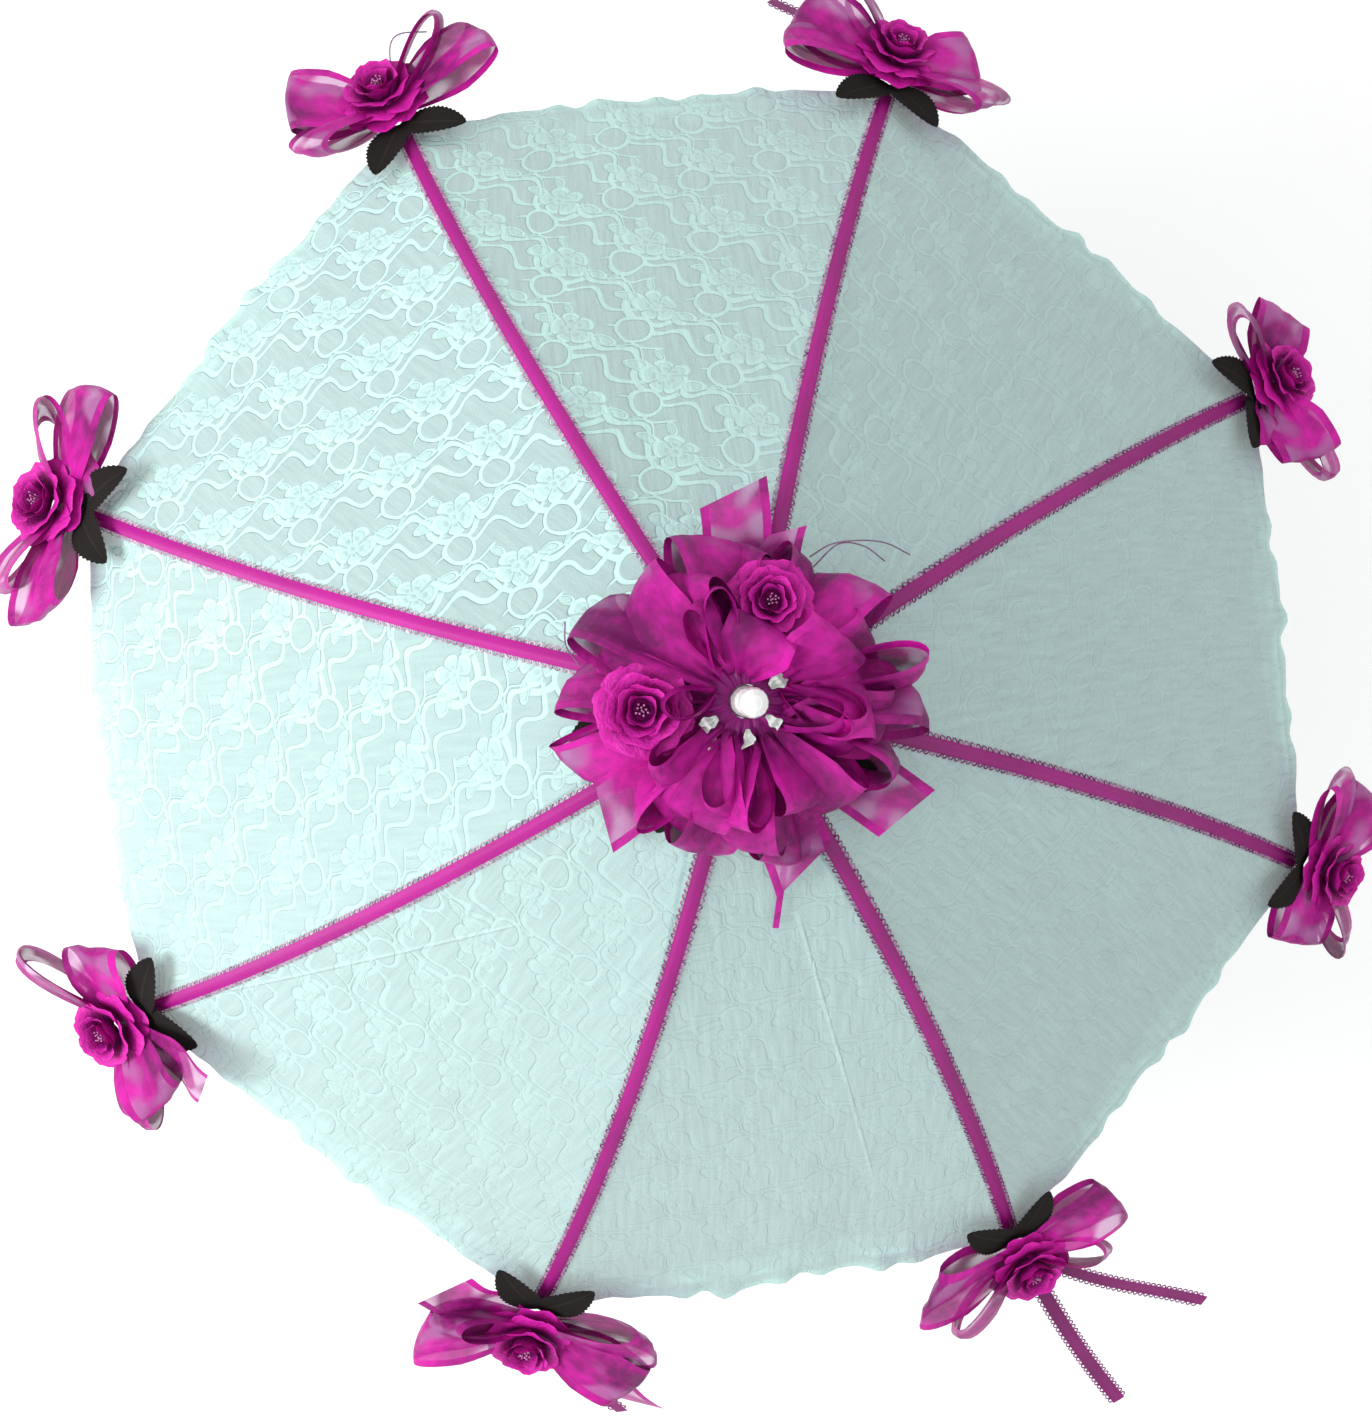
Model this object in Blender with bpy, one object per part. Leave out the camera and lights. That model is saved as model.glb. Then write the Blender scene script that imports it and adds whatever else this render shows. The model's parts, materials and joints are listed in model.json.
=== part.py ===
"""An open lace parasol on a folding frame: eight ribs, eight stretchers, a runner on a shaft and two catches.

Metres, +Z up. The origin is the middle of the grip, on the shaft line. Every piece that belongs to one rib is
drawn once in the rib's own frame, with X outward, Y sideways and Z up, and then turned about the shaft.
"""

import math

import bmesh
import bpy
from mathutils import Matrix, Vector

# Frame
RIBS = 8
STEP = 2 * math.pi / RIBS
TIP_R = 0.405  # shaft line to a rib tip, open
HINGE_R = 0.011  # shaft line to a rib hinge, and to a stretcher's inner end
CROWN_Z = 0.565  # rib hinge plane above the grip
SLOPE_IN, SLOPE_OUT = math.radians(19.0), math.radians(39.0)  # rib slope at the crown and at the tip
SWIRL = 0.0085  # sideways bow of each rib at mid length, all to the same side
JOINT_U = 0.45  # where along the rib the stretcher joins it
JOINT_DROP = 0.0055  # stretcher joint below the rib centre line
CLOSE_TURN = math.radians(54.0)  # rib turn from open to closed
GAP = 0.0003

# Sections
RIB_W, RIB_H = 0.0024, 0.003
SHAFT_R = 0.005
BORE_R = SHAFT_R + GAP
BARREL_R, FLANGE_R = 0.0082, 0.014
RUNNER_TOP, RUNNER_BOTTOM = 0.004, -0.046
SLOT_R, SLOT_W = 0.0085, 0.0036
CATCH_LONG, CATCH_W = 0.018, 0.002
GRIP_LONG, GRIP_TOP = 0.120, 0.060

# Cloth, as heights above the rib centre line
LACE_LOW, LACE_HIGH = 0.0022, 0.0030
RIBBON_LOW, RIBBON_HIGH = 0.0033, 0.0041
BOW_LOW, BOW_HIGH = 0.0047, 0.0095
LACE_IN_R = 0.020
RIBBON_IN_R, RIBBON_W = 0.046, 0.0105
SAG = 0.006  # how far the lace dips between two ribs
HEM_OUT = 0.045  # share by which the hem reaches past the straight line between two tips
BUNCH_R, BUNCH_LOW = 0.100, 0.0052
ROSE_R, ROSE_HIGH = 0.025, 0.020

BEND = SLOPE_OUT - SLOPE_IN
RIB_LONG = (TIP_R - HINGE_R) * BEND / (math.sin(SLOPE_OUT) - math.sin(SLOPE_IN))


# Rib line and lace surface


def slope_at(u):
    return SLOPE_IN + BEND * min(u, 1.1)


def rib_point(u):
    """A point on the rib centre line, for u from 0 at the hinge to 1 at the tip."""
    out = (math.sin(slope_at(u)) - math.sin(SLOPE_IN)) / BEND
    down = (math.cos(SLOPE_IN) - math.cos(slope_at(u))) / BEND
    side = SWIRL * 4 * u * (1 - u) if 0 < u < 1 else 0.0
    return Vector((HINGE_R + RIB_LONG * out, side, CROWN_Z - RIB_LONG * down))


def rib_normal(u):
    return Vector((math.sin(slope_at(u)), 0, math.cos(slope_at(u))))


def rib_share(radius):
    """The u at which the rib reaches this distance from the shaft line."""
    low, high = 0.0, 1.2
    for _ in range(40):
        middle = (low + high) / 2
        low, high = (middle, high) if rib_point(middle).x < radius else (low, middle)
    return low


def lace_point(u, across, height):
    """A point of the lace: across runs from -1 to 1, the middles of the gores on each side of the rib."""
    side, share = math.copysign(1, across), abs(across)
    u *= 1 + HEM_OUT * share * (2 - share) * max(0.0, u) ** 6
    start = rib_point(u)
    middle = (start + Matrix.Rotation(side * STEP, 3, "Z") @ start) / 2
    point = start.lerp(middle, share)
    point.z -= SAG * share * (2 - share) * 4 * u * max(0.0, 1 - u)
    turn = Matrix.Rotation(side * STEP / 2 * share, 3, "Z")
    point += turn @ rib_normal(u) * height
    if share == 1:
        point -= turn @ Vector((0, side, 0)) * GAP / 2
    return point


def half_gore(u):
    """Half the straight distance to the next rib, sideways."""
    return rib_point(u).x * math.sin(STEP / 2)


# Mesh helpers


def make_mesh(name, points, faces):
    mesh = bpy.data.meshes.new(name)
    mesh.from_pydata([tuple(point) for point in points], [], faces)
    shape = bmesh.new()
    shape.from_mesh(mesh)
    bmesh.ops.recalc_face_normals(shape, faces=shape.faces)
    shape.to_mesh(mesh)
    shape.free()
    return mesh


def loft(name, rings, closed_ends=True):
    """A tube through rings of points, each ring in the same order, with flat ends or joined back to its start."""
    count = len(rings[0])
    points = [point for ring in rings for point in ring]
    faces = []
    for k in range(len(rings) - (1 if closed_ends else 0)):
        for j in range(count):
            here, there = k * count, (k + 1) % len(rings) * count
            faces.append((here + j, here + (j + 1) % count, there + (j + 1) % count, there + j))
    if closed_ends:
        faces.append(tuple(range(count)))
        faces.append(tuple(range((len(rings) - 1) * count, len(rings) * count)))
    return make_mesh(name, points, faces)


def turned(name, profile, segments=24, petals=0, ruffle=0.0):
    """A solid turned about Z from a closed (radius, height) profile that stays off the axis, or meets it twice."""
    rings = []
    for k in range(segments):
        angle = 2 * math.pi * k / segments
        wave = 1 + ruffle * math.cos(petals * angle)
        rings.append([Vector((r * wave * math.cos(angle), r * wave * math.sin(angle), z)) for r, z in profile])
    mesh = loft(name, rings, closed_ends=False)
    shape = bmesh.new()
    shape.from_mesh(mesh)
    bmesh.ops.remove_doubles(shape, verts=shape.verts, dist=0.00001)
    bmesh.ops.recalc_face_normals(shape, faces=shape.faces)
    shape.to_mesh(mesh)
    shape.free()
    return mesh


def rod(name, start, end, radius, segments=10):
    """A round bar from start to end."""
    start, end = Vector(start), Vector(end)
    turn = (end - start).to_track_quat("Z", "Y").to_matrix()
    circle = [
        turn @ Vector((radius * math.cos(a), radius * math.sin(a), 0))
        for a in (2 * math.pi * (k + 0.5) / segments for k in range(segments))
    ]
    return loft(name, [[start + c for c in circle], [end + c for c in circle]])


def block(name, low, high, turn=None):
    """A box between two corners, turned by a matrix if one is given."""
    corners = [
        [Vector((x, y, z)) for x, y in ((low[0], low[1]), (high[0], low[1]), (high[0], high[1]), (low[0], high[1]))]
        for z in (low[2], high[2])
    ]
    if turn:
        corners = [[turn @ corner for corner in ring] for ring in corners]
    return loft(name, corners)


def combine(base, add=(), cut=()):
    """The base mesh joined with some meshes and then cut by others."""
    body = bpy.data.objects.new("body", base)
    tools = []
    bpy.context.scene.collection.objects.link(body)
    for mesh, operation in [(m, "UNION") for m in add] + [(m, "DIFFERENCE") for m in cut]:
        tool = bpy.data.objects.new("tool", mesh)
        bpy.context.scene.collection.objects.link(tool)
        change = body.modifiers.new("join", "BOOLEAN")
        change.operation, change.solver, change.object = operation, "EXACT", tool
        tools.append(tool)
    graph = bpy.context.evaluated_depsgraph_get()
    result = bpy.data.meshes.new_from_object(body.evaluated_get(graph))
    for helper in [body, *tools]:
        bpy.data.objects.remove(helper)
    return result


def shell(name, surface, rows, columns):
    """A closed thin sheet from surface(row, column, side), with side 0 below and 1 above."""
    wide = columns + 1
    points = [surface(i, j, side) for side in (0, 1) for i in range(rows + 1) for j in range(wide)]
    top = (rows + 1) * wide
    faces = []
    for i in range(rows):
        for j in range(columns):
            a, b, c, d = i * wide + j, i * wide + j + 1, (i + 1) * wide + j + 1, (i + 1) * wide + j
            faces += [(a, b, c, d), (top + d, top + c, top + b, top + a)]
    edge = [j for j in range(wide)] + [i * wide + columns for i in range(1, rows + 1)]
    edge += [rows * wide + j for j in range(columns - 1, -1, -1)] + [i * wide for i in range(rows - 1, 0, -1)]
    for a, b in zip(edge, edge[1:] + edge[:1]):
        faces.append((a, b, top + b, top + a))
    return make_mesh(name, points, faces)


def place(name, mesh, material, origin=(0, 0, 0), angle=0.0):
    """An object whose origin is on its joint, turned about the shaft line; the mesh is drawn in the rib frame."""
    origin = Vector(origin)
    moved = mesh.copy()
    moved.name = name
    moved.transform(Matrix.Translation(-origin))
    moved.materials.clear()
    moved.materials.append(material)
    obj = bpy.data.objects.new(name, moved)
    turn = Matrix.Rotation(angle, 4, "Z")
    obj.location = turn @ origin
    obj.rotation_euler.z = angle
    bpy.context.scene.collection.objects.link(obj)
    return obj


def paint(name, color, roughness, metallic=0.0):
    material = bpy.data.materials.new(name)
    material.use_nodes = True
    shader = material.node_tree.nodes["Principled BSDF"]
    shader.inputs["Base Color"].default_value = (*color, 1)
    shader.inputs["Roughness"].default_value = roughness
    shader.inputs["Metallic"].default_value = metallic
    return material


# Linkage

HINGE = Vector((HINGE_R, 0, CROWN_Z))
JOINT = rib_point(JOINT_U) - rib_normal(JOINT_U) * JOINT_DROP
ARM = math.hypot(JOINT.x - HINGE.x, JOINT.z - HINGE.z)  # hinge to joint, and the stretcher's own length
OPEN_ANGLE = math.atan2(JOINT.x - HINGE.x, HINGE.z - JOINT.z)  # of that line, from straight down
RUNNER_OPEN_Z = CROWN_Z - 2 * ARM * math.cos(OPEN_ANGLE)
RUNNER_SHUT_Z = CROWN_Z - 2 * ARM * math.cos(OPEN_ANGLE - CLOSE_TURN)
RUNNER_END = Vector((HINGE_R, 0, RUNNER_OPEN_Z))
TIP = rib_point(1 + 0.0048 / RIB_LONG)  # centre of the knob at the rib tip


# Pieces of one rib


def rib_mesh():
    rings = []
    stations = [0.004 + (1.009 - 0.004) * k / 12 for k in range(13)]
    for u in stations:
        centre, up = rib_point(u), rib_normal(u) * RIB_H / 2
        side = Vector((0, RIB_W / 2, 0))
        rings.append([centre - side - up, centre + side - up, centre + side + up, centre - side + up])
    bar = loft("rib", rings)
    wide = Vector((0, RIB_W / 2, 0))
    eye = rod("eye", HINGE - wide, HINGE + wide, 0.0021)
    lug = rod("lug", JOINT - wide, JOINT + wide, 0.0023)
    tilt = Matrix.Translation(JOINT) @ Matrix.Rotation(slope_at(JOINT_U), 4, "Y")
    web = block("web", (-0.0018, -RIB_W / 2, 0), (0.0018, RIB_W / 2, JOINT_DROP), tilt)
    knob = turned("knob", [(0, -0.0026), (0.0019, -0.0018), (0.0026, 0), (0.0019, 0.0018), (0, 0.0026)], 8)
    knob.transform(Matrix.Translation(TIP))
    holes = [rod("hole", p - wide * 2, p + wide * 2, r) for p, r in ((HINGE, 0.001), (JOINT, 0.0011))]
    return combine(bar, [eye, lug, web, knob], holes)


def stretcher_mesh():
    """A bar with a fork round the rib's lug at one end and a plain eye in the runner's slot at the other."""
    run = RUNNER_END - Vector((JOINT.x, 0, JOINT.z))
    length, lean = run.length, math.atan2(-run.z, run.x)
    frame = Matrix.Translation((JOINT.x, 0, JOINT.z)) @ Matrix.Rotation(lean, 4, "Y")
    half, outer, inner = RIB_W / 2, 0.0026, RIB_W / 2 + GAP
    bar = block("stretcher", (0.0062, -half, -0.0014), (length, half, 0.0014))
    head = block("head", (0, -outer, -0.0019), (0.0085, outer, 0.0019))
    round_head = rod("round", (0, -outer + 0.0002, 0), (0, outer - 0.0002, 0), 0.0021)
    end = rod("end", (length, -half + 0.0001, 0), (length, half - 0.0001, 0), 0.0018)
    slot = block("slot", (-0.004, -inner, -0.004), (0.0046, inner, 0.004))
    pin = rod("pin", (0, -outer + 0.0006, 0), (0, outer - 0.0006, 0), 0.0007, 8)
    mesh = combine(combine(bar, [head, round_head, end], [slot]), [pin])
    for vertex in mesh.vertices:  # leans sideways, from the bowed rib to the straight shaft
        vertex.co.y += JOINT.y * (1 - min(1.0, max(0.0, vertex.co.x / length)))
    mesh.transform(frame)
    return mesh


def lace_mesh():
    rows, columns = 10, 6
    start = rib_share(LACE_IN_R)

    def surface(i, j, side):
        u = start + (1 - start) * i / rows
        return lace_point(u, (j - columns / 2) / (columns / 2), (LACE_LOW, LACE_HIGH)[side])

    return shell("lace", surface, rows, columns)


def ribbon_mesh():
    rows, start = 12, rib_share(RIBBON_IN_R)

    def surface(i, j, side):
        u = start + (0.992 - start) * i / rows
        across = (j - 1) * RIBBON_W / 2 / half_gore(u)
        return lace_point(u, across, (RIBBON_LOW, RIBBON_HIGH)[side])

    return shell("ribbon", surface, rows, 2)


def bow_mesh():
    """A flat bow over the hem: a narrow waist at the rib, and a wide lobe on each side that reaches past it."""
    side_of = [(0.052, 0.008, 0.022), (0.042, -0.006, 0.034), (0.030, -0.026, 0.034), (0.020, -0.030, 0.024)]
    side_of += [(0.008, -0.012, 0.006)]
    lobes = [(-y, a, b) for y, a, b in side_of] + [(0, -0.008, 0.002)] + [(y, a, b) for y, a, b in side_of[::-1]]
    out = Vector((math.cos(SLOPE_OUT), 0, -math.sin(SLOPE_OUT)))
    up, base = rib_normal(1), rib_point(1)
    rings = []
    for y, inner, outer in lobes:
        low, high = BOW_LOW - 0.2 * abs(y), BOW_HIGH - 0.2 * abs(y)
        thin = (high - low) * 0.25
        corners = [(inner, low + thin), (inner + 0.002, low), (outer - 0.002, low), (outer, low + thin)]
        corners += [(outer, high - thin), (outer - 0.002, high), (inner + 0.002, high), (inner, high - thin)]
        rings.append([base + out * a + up * h + Vector((0, y, 0)) for a, h in corners])
    return loft("bow", rings)


def rose_profile(radius, height):
    steps = ((0, 0), (0.24, 0), (0.5, 0.12), (0.88, 0.5), (1, 0.9), (0.7, 1), (0.35, 0.88), (0, 0.8))
    return [(radius * r, height * h) for r, h in steps]


def rose_mesh():
    """A ruffled rose past the rib tip, facing up and out, with a short stem back to the knob."""
    base = Vector((TIP_R + 0.026, 0, rib_point(1).z - 0.006))
    rose = turned("rose", rose_profile(ROSE_R, ROSE_HIGH), 15, petals=5, ruffle=0.05)
    rose.transform(Matrix.Translation(base) @ Matrix.Rotation(math.radians(35), 4, "Y"))
    along = (base - TIP).normalized()
    return combine(rose, [rod("stem", TIP + along * (0.0026 + GAP), base + along * 0.004, 0.0015, 8)])


# Pieces on the shaft line


def wheel(name, profile, ring=False):
    """A turned part with one open slot for each rib, and a wire ring across the slots if asked for."""
    cuts = []
    for k in range(RIBS):
        turn = Matrix.Rotation(STEP * k, 4, "Z")
        cuts.append(block("slot", (SLOT_R, -SLOT_W / 2, -0.02), (0.03, SLOT_W / 2, 0.02), turn))
    body = combine(turned(name, profile, 24), cut=cuts)
    if ring:
        wire = [(HINGE_R + 0.0006 * math.cos(a), 0.0006 * math.sin(a)) for a in (math.pi * k / 2 for k in range(4))]
        body = combine(body, [turned("wire", wire, 32)])
    return body


def catch_mesh(direction):
    """A spring catch that stands out of the shaft, with its flat shoulder at z = 0 and its ramp behind it."""
    outline = [(0.0002, 0), (0.0082, 0), (0.0082, -0.003), (0.0047, -CATCH_LONG), (0.0002, -CATCH_LONG)]
    rings = [[Vector((x, y, direction * z)) for x, z in outline] for y in (-CATCH_W / 2, CATCH_W / 2)]
    return loft("catch", rings)


def bunch_mesh(rose_spots):
    """The flat ruffled mound of loops round the ferrule, with a seat cut for each rose on it."""
    under = [(r, BUNCH_LOW) for r in (0.0315, 0.05, 0.075, 0.094)]
    over = [(BUNCH_R, 0.009), (0.094, 0.019), (0.075, 0.03), (0.05, 0.032), (0.03, 0.022), (0.0255, 0.008)]
    rings = []
    for k in range(30):
        angle = 2 * math.pi * k / 30
        reach = [(r * (1 + 0.045 * math.cos(10 * angle)), h) for r, h in under + over]
        rings.append(
            [Vector((r * math.cos(angle), r * math.sin(angle), rib_point(rib_share(r)).z + h)) for r, h in reach]
        )
    seats = []
    for spot in rose_spots:
        pocket = rod("seat", (0, 0, 0), (0, 0, 0.05), 0.0235, 20)
        pocket.transform(Matrix.Translation(spot))
        seats.append(pocket)
    return combine(loft("bunch", rings, closed_ends=False), cut=seats)


def shaft_mesh(catches, pin_z, between):
    low = GRIP_TOP - 0.045
    body = turned("shaft", [(0, low), (SHAFT_R, low), (SHAFT_R, CROWN_Z + 0.016), (0, CROWN_Z + 0.016)], 24)
    cuts = []
    for shoulder, direction in catches:
        z = sorted((shoulder + direction * GAP, shoulder - direction * (CATCH_LONG + GAP)))
        half = CATCH_W / 2 + GAP
        cuts.append(block("pocket", (-0.0036, -half, z[0]), (0.008, half, z[1]), between))
    reach = between @ Vector((0.008, 0, 0))
    up = Vector((0, 0, pin_z))
    cuts.append(rod("hole", up - reach, up + reach, 0.0013))
    return combine(body, cut=cuts)


def build():
    for obj in list(bpy.data.objects):
        bpy.data.objects.remove(obj)
    white = paint("white_enamel", (0.9, 0.91, 0.9), 0.3)
    steel = paint("white_wire", (0.82, 0.84, 0.84), 0.35, 0.3)
    lace = paint("mint_lace", (0.62, 0.84, 0.79), 0.8)
    satin = paint("magenta_satin", (0.72, 0.02, 0.42), 0.35)
    petal = paint("magenta_petal", (0.62, 0.01, 0.36), 0.6)

    shared = {
        "rib": (rib_mesh(), steel, HINGE),
        "stretcher": (stretcher_mesh(), steel, JOINT),
        "lace": (lace_mesh(), lace, HINGE),
        "ribbon": (ribbon_mesh(), satin, HINGE),
        "bow": (bow_mesh(), satin, HINGE),
        "rose": (rose_mesh(), petal, HINGE),
    }
    for kind, (mesh, material, origin) in shared.items():
        for k in range(RIBS):
            place(f"{kind}_{k + 1}", mesh, material, origin, STEP * k)

    between = Matrix.Rotation(STEP / 2, 4, "Z")
    upper_z = RUNNER_OPEN_Z + RUNNER_BOTTOM - GAP
    lower_z = RUNNER_SHUT_Z + RUNNER_TOP + GAP
    pin_z = RUNNER_OPEN_Z + RUNNER_TOP + GAP + 0.001
    place("shaft", shaft_mesh([(upper_z, 1), (lower_z, -1)], pin_z, between), white)
    place("upper_catch", catch_mesh(1), steel, angle=STEP / 2).location.z = upper_z
    place("lower_catch", catch_mesh(-1), steel, angle=STEP / 2).location.z = lower_z
    reach = between @ Vector((0.0078, 0, 0))
    place("stop_pin", rod("pin", -reach, reach, 0.001), steel).location.z = pin_z

    disc = [(BORE_R, -0.0035), (FLANGE_R, -0.0035), (FLANGE_R, 0.0012), (BORE_R, 0.0012)]
    place("crown", wheel("crown", disc, ring=True), white).location.z = CROWN_Z
    barrel = [(BORE_R, RUNNER_BOTTOM), (BARREL_R, RUNNER_BOTTOM), (BARREL_R, -0.042), (0.0074, -0.040)]
    barrel += [(0.0074, -0.030), (BARREL_R, -0.028), (BARREL_R, -RUNNER_TOP), (FLANGE_R, -RUNNER_TOP)]
    barrel += [(FLANGE_R, RUNNER_TOP), (BORE_R, RUNNER_TOP)]
    place("runner", wheel("runner", barrel), white).location.z = RUNNER_OPEN_Z

    tip = [(BORE_R, 0.0015), (0.008, 0.0015), (0.008, 0.010), (0.0068, 0.018), (0.0045, 0.022), (0.0045, 0.036)]
    tip += [(0.0068, 0.040), (0.0077, 0.046), (0.0068, 0.052), (0.004, 0.0555), (0, 0.0565), (0, 0.0163)]
    place("ferrule", turned("ferrule", [*tip, (BORE_R, 0.0163)], 16), white).location.z = CROWN_Z
    low, bottom = GRIP_TOP - 0.045 - GAP, GRIP_TOP - GRIP_LONG
    grip = [(0, bottom), (0.0105, bottom), (0.0125, bottom + 0.003), (0.0118, bottom + 0.012)]
    grip += [(0.0125, -0.02), (0.0118, 0.01), (0.0095, 0.036), (0.0095, 0.041), (0.0108, 0.043)]
    grip += [(0.0108, 0.047), (0.0092, 0.049), (0.0082, GRIP_TOP), (BORE_R, GRIP_TOP), (BORE_R, low), (0, low)]
    place("handle", turned("handle", grip, 20), white)

    collar = [(0.0086, CROWN_Z + 0.0044)]
    collar += [(r, rib_point(rib_share(r)).z + h) for r, h in ((0.030, 0.0042), (0.0305, 0.0048), (0.020, 0.0066))]
    place("lace_collar", turned("collar", [*collar, (0.0086, CROWN_Z + 0.0085)], 24), lace)
    spots = []
    for degrees in (200.7, 92.4):
        out = Matrix.Rotation(math.radians(degrees), 4, "Z") @ Vector((0.052, 0, 0))
        spots.append(out + Vector((0, 0, rib_point(rib_share(0.052)).z + 0.0185)))
    place("bunch", bunch_mesh(spots), satin)
    bloom = turned("bloom", rose_profile(0.0225, 0.022), 15, petals=5, ruffle=0.03)
    for name, spot in zip(("bunch_rose_1", "bunch_rose_2"), spots):
        place(name, bloom, petal).location = spot + Vector((0, 0, GAP))


build()
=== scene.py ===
"""The looks of the lace parasol: lace, picot ribbons, roses, bows, leaves and the bunch round the ferrule.

Everything is in metres in the CAD model's frame, with the shaft on the Z axis and the first rib along +X.
Pieces of one rib are drawn in that rib's own frame (X outward, Y sideways, Z up) and turned about the shaft.
"""

import json
import math
import random

import bpy
from mathutils import Matrix, Vector

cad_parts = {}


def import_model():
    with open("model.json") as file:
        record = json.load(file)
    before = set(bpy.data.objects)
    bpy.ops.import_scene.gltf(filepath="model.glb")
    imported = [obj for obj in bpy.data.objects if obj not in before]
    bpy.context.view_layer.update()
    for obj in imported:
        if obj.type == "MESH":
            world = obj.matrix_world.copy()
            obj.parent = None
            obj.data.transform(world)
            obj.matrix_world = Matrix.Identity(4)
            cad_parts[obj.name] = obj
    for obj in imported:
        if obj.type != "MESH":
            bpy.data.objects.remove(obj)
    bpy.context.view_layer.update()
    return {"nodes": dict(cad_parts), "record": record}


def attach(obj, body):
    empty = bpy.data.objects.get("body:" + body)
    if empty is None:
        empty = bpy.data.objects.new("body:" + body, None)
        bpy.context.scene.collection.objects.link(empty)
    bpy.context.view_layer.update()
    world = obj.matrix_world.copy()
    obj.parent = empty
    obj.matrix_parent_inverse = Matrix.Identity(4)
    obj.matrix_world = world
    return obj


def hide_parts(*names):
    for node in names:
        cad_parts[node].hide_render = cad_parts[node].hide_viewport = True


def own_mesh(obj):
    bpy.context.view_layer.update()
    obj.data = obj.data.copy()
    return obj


# The same driving dimensions as the CAD model
RIBS = 8
STEP = 2 * math.pi / RIBS
TIP_R, HINGE_R, CROWN_Z = 0.405, 0.011, 0.565
SLOPE_IN, SLOPE_OUT = math.radians(19.0), math.radians(39.0)
SWIRL, SAG = 0.0085, 0.006
BEND = SLOPE_OUT - SLOPE_IN
RIB_LONG = (TIP_R - HINGE_R) * BEND / (math.sin(SLOPE_OUT) - math.sin(SLOPE_IN))

# Heights of the cloth above the rib centre line, and how far from the shaft each starts
LACE_UP, RIBBON_UP = 0.0026, 0.0036
LACE_IN_R, RIBBON_IN_R = 0.020, 0.046
RIBBON_END = 0.992

# Lace panels: mesh steps, loose hem, and how they pucker, ruffle and droop
LACE_ROWS, LACE_COLUMNS = 48, 64
HEM_OUT, LONG_GORE, LONG_GORE_HEM = 0.045, 6, 1.4
PUCKER, RUFFLE, DROOP = 0.0008, 0.09, 0.12
SEAM_UP, SEAM_W, SEAM_BORDER_W = 0.0010, 0.004, 0.003

# Directions round the shaft of the painted light: where the cloth is painted palest, on the lamp's side, and
# where the lace motif is painted clearest, as glancing light shows it
LIT_SIDE, GLANCE_SIDE = math.radians(183), math.radians(160)

# Lace pattern in millimetres: its repeat, its slip from row to row, and how far its lines wander
REPEAT_W, REPEAT_H, ROW_SLIP, WANDER = 64.7, 40.7, 38.5, 10.0
ROW_SLANT = math.radians(43.4)
# Its leaves: middle, turn in radians, half length and half width
LACE_LEAVES = (((19.5, 2.0), 0.25, 7.5, 3.6), ((-19.0, -1.0), 0.2, 7.5, 3.6), ((-12.0, 12.0), -0.6, 5.0, 2.8))
LACE_BUD = ((REPEAT_W / 2, 7.0), 0.9, 6.0, 3.0)
# Its ponds, round patches of open net: middles, rim and open radius
POND_PLACES = ((2.5, -21.0), (2.5 + REPEAT_W - ROW_SLIP, REPEAT_H - 21.0))
POND_RIM_R, POND_OPEN_R = 9.8, 8.4
# Pressed folds from place to place on the canopy as seen from above, in metres; each is drawn as relief with
# a lighter line of painted highlight
LACE_CREASES = (((0.061, -0.098), (0.177, -0.265)), ((-0.073, -0.149), (-0.256, -0.265)))
# Their half width, soft edge and fading ends, in millimetres
CREASE_HALF, CREASE_SOFT, CREASE_FADE = 0.5, 1.3, 20.0

# Camera, worked out from the rib tips and the ferrule
CAMERA_DISTANCE, CAMERA_ROLL = 0.847, math.radians(-16.04)
CAMERA_LEAN = (math.radians(5.23), math.radians(-1.05))
CAMERA_LENS, CAMERA_SHIFT, SENSOR_W = 41.78, (-0.0414, -0.0052), 36

# Stage: floor, sky and the one soft lamp
FLOOR_Z, FLOOR_HALF, FLOOR_GLOW = -0.0605, 4, 0.12
SKY_LIGHT = 0.90
KEY_SIDE, KEY_PLACE, KEY_TARGET = math.radians(200), (1.7, 0.2, 1.5), (0, 0, 0.4)
KEY_SIZE, KEY_WATTS = 0.9, 28

# Dark and light tone of each cloth; but for the velvet, the mix between dark and light partly carries painted
# light and shade
MAGENTA = (0.45, 0.001, 0.27)
LACE_TONES = ((0.225, 0.345, 0.340), (0.61, 0.91, 0.85))
SATIN_TONES = ((0.17, 0.001, 0.105), (0.58, 0.006, 0.34))
PICOT_TONES = ((0.20, 0.006, 0.15), (0.93, 0.64, 0.84))
ORGANZA_TONES = ((0.19, 0.001, 0.12), (0.74, 0.006, 0.42))
SHEER_TONE = (0.60, 0.20, 0.52)
# The hollow's tones are painted shade: the gathered organza round the ferrule's foot is painted darker than
# the organza elsewhere
HOLLOW_SHADE_TONES = ((0.08, 0.001, 0.06), (0.34, 0.002, 0.22))
PETAL_SHADE_TONES = ((0.18, 0.001, 0.12), (0.74, 0.012, 0.43))
VELVET_TONES = ((0.006, 0.008, 0.008), (0.046, 0.037, 0.034))

# Satin ribbon: width, mesh step and width with picots, then the pitch, reach, root and thread of its picots
SATIN_W, SATIN_STEP, SATIN_FLAT_W = 0.0088, 0.006, 0.0100
PICOT_PITCH, PICOT_OUT, PICOT_IN, PICOT_R = 0.0042, 0.0023, 0.0002, 0.00050
THIN_W = 0.0036

# Organza: width, satin band along each edge, and ribbon in a loop per reach, real and as textured
ORGANZA_W, SATIN_BAND = 0.038, 0.0048
LOOP_CLOTH, LOOP_TEXTURE = 2.15, 2.1
# How far from the shaft its clear windows start, and how slowly they fade in
WINDOWS_R, WINDOWS_FADE = 0.074, 0.020

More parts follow.
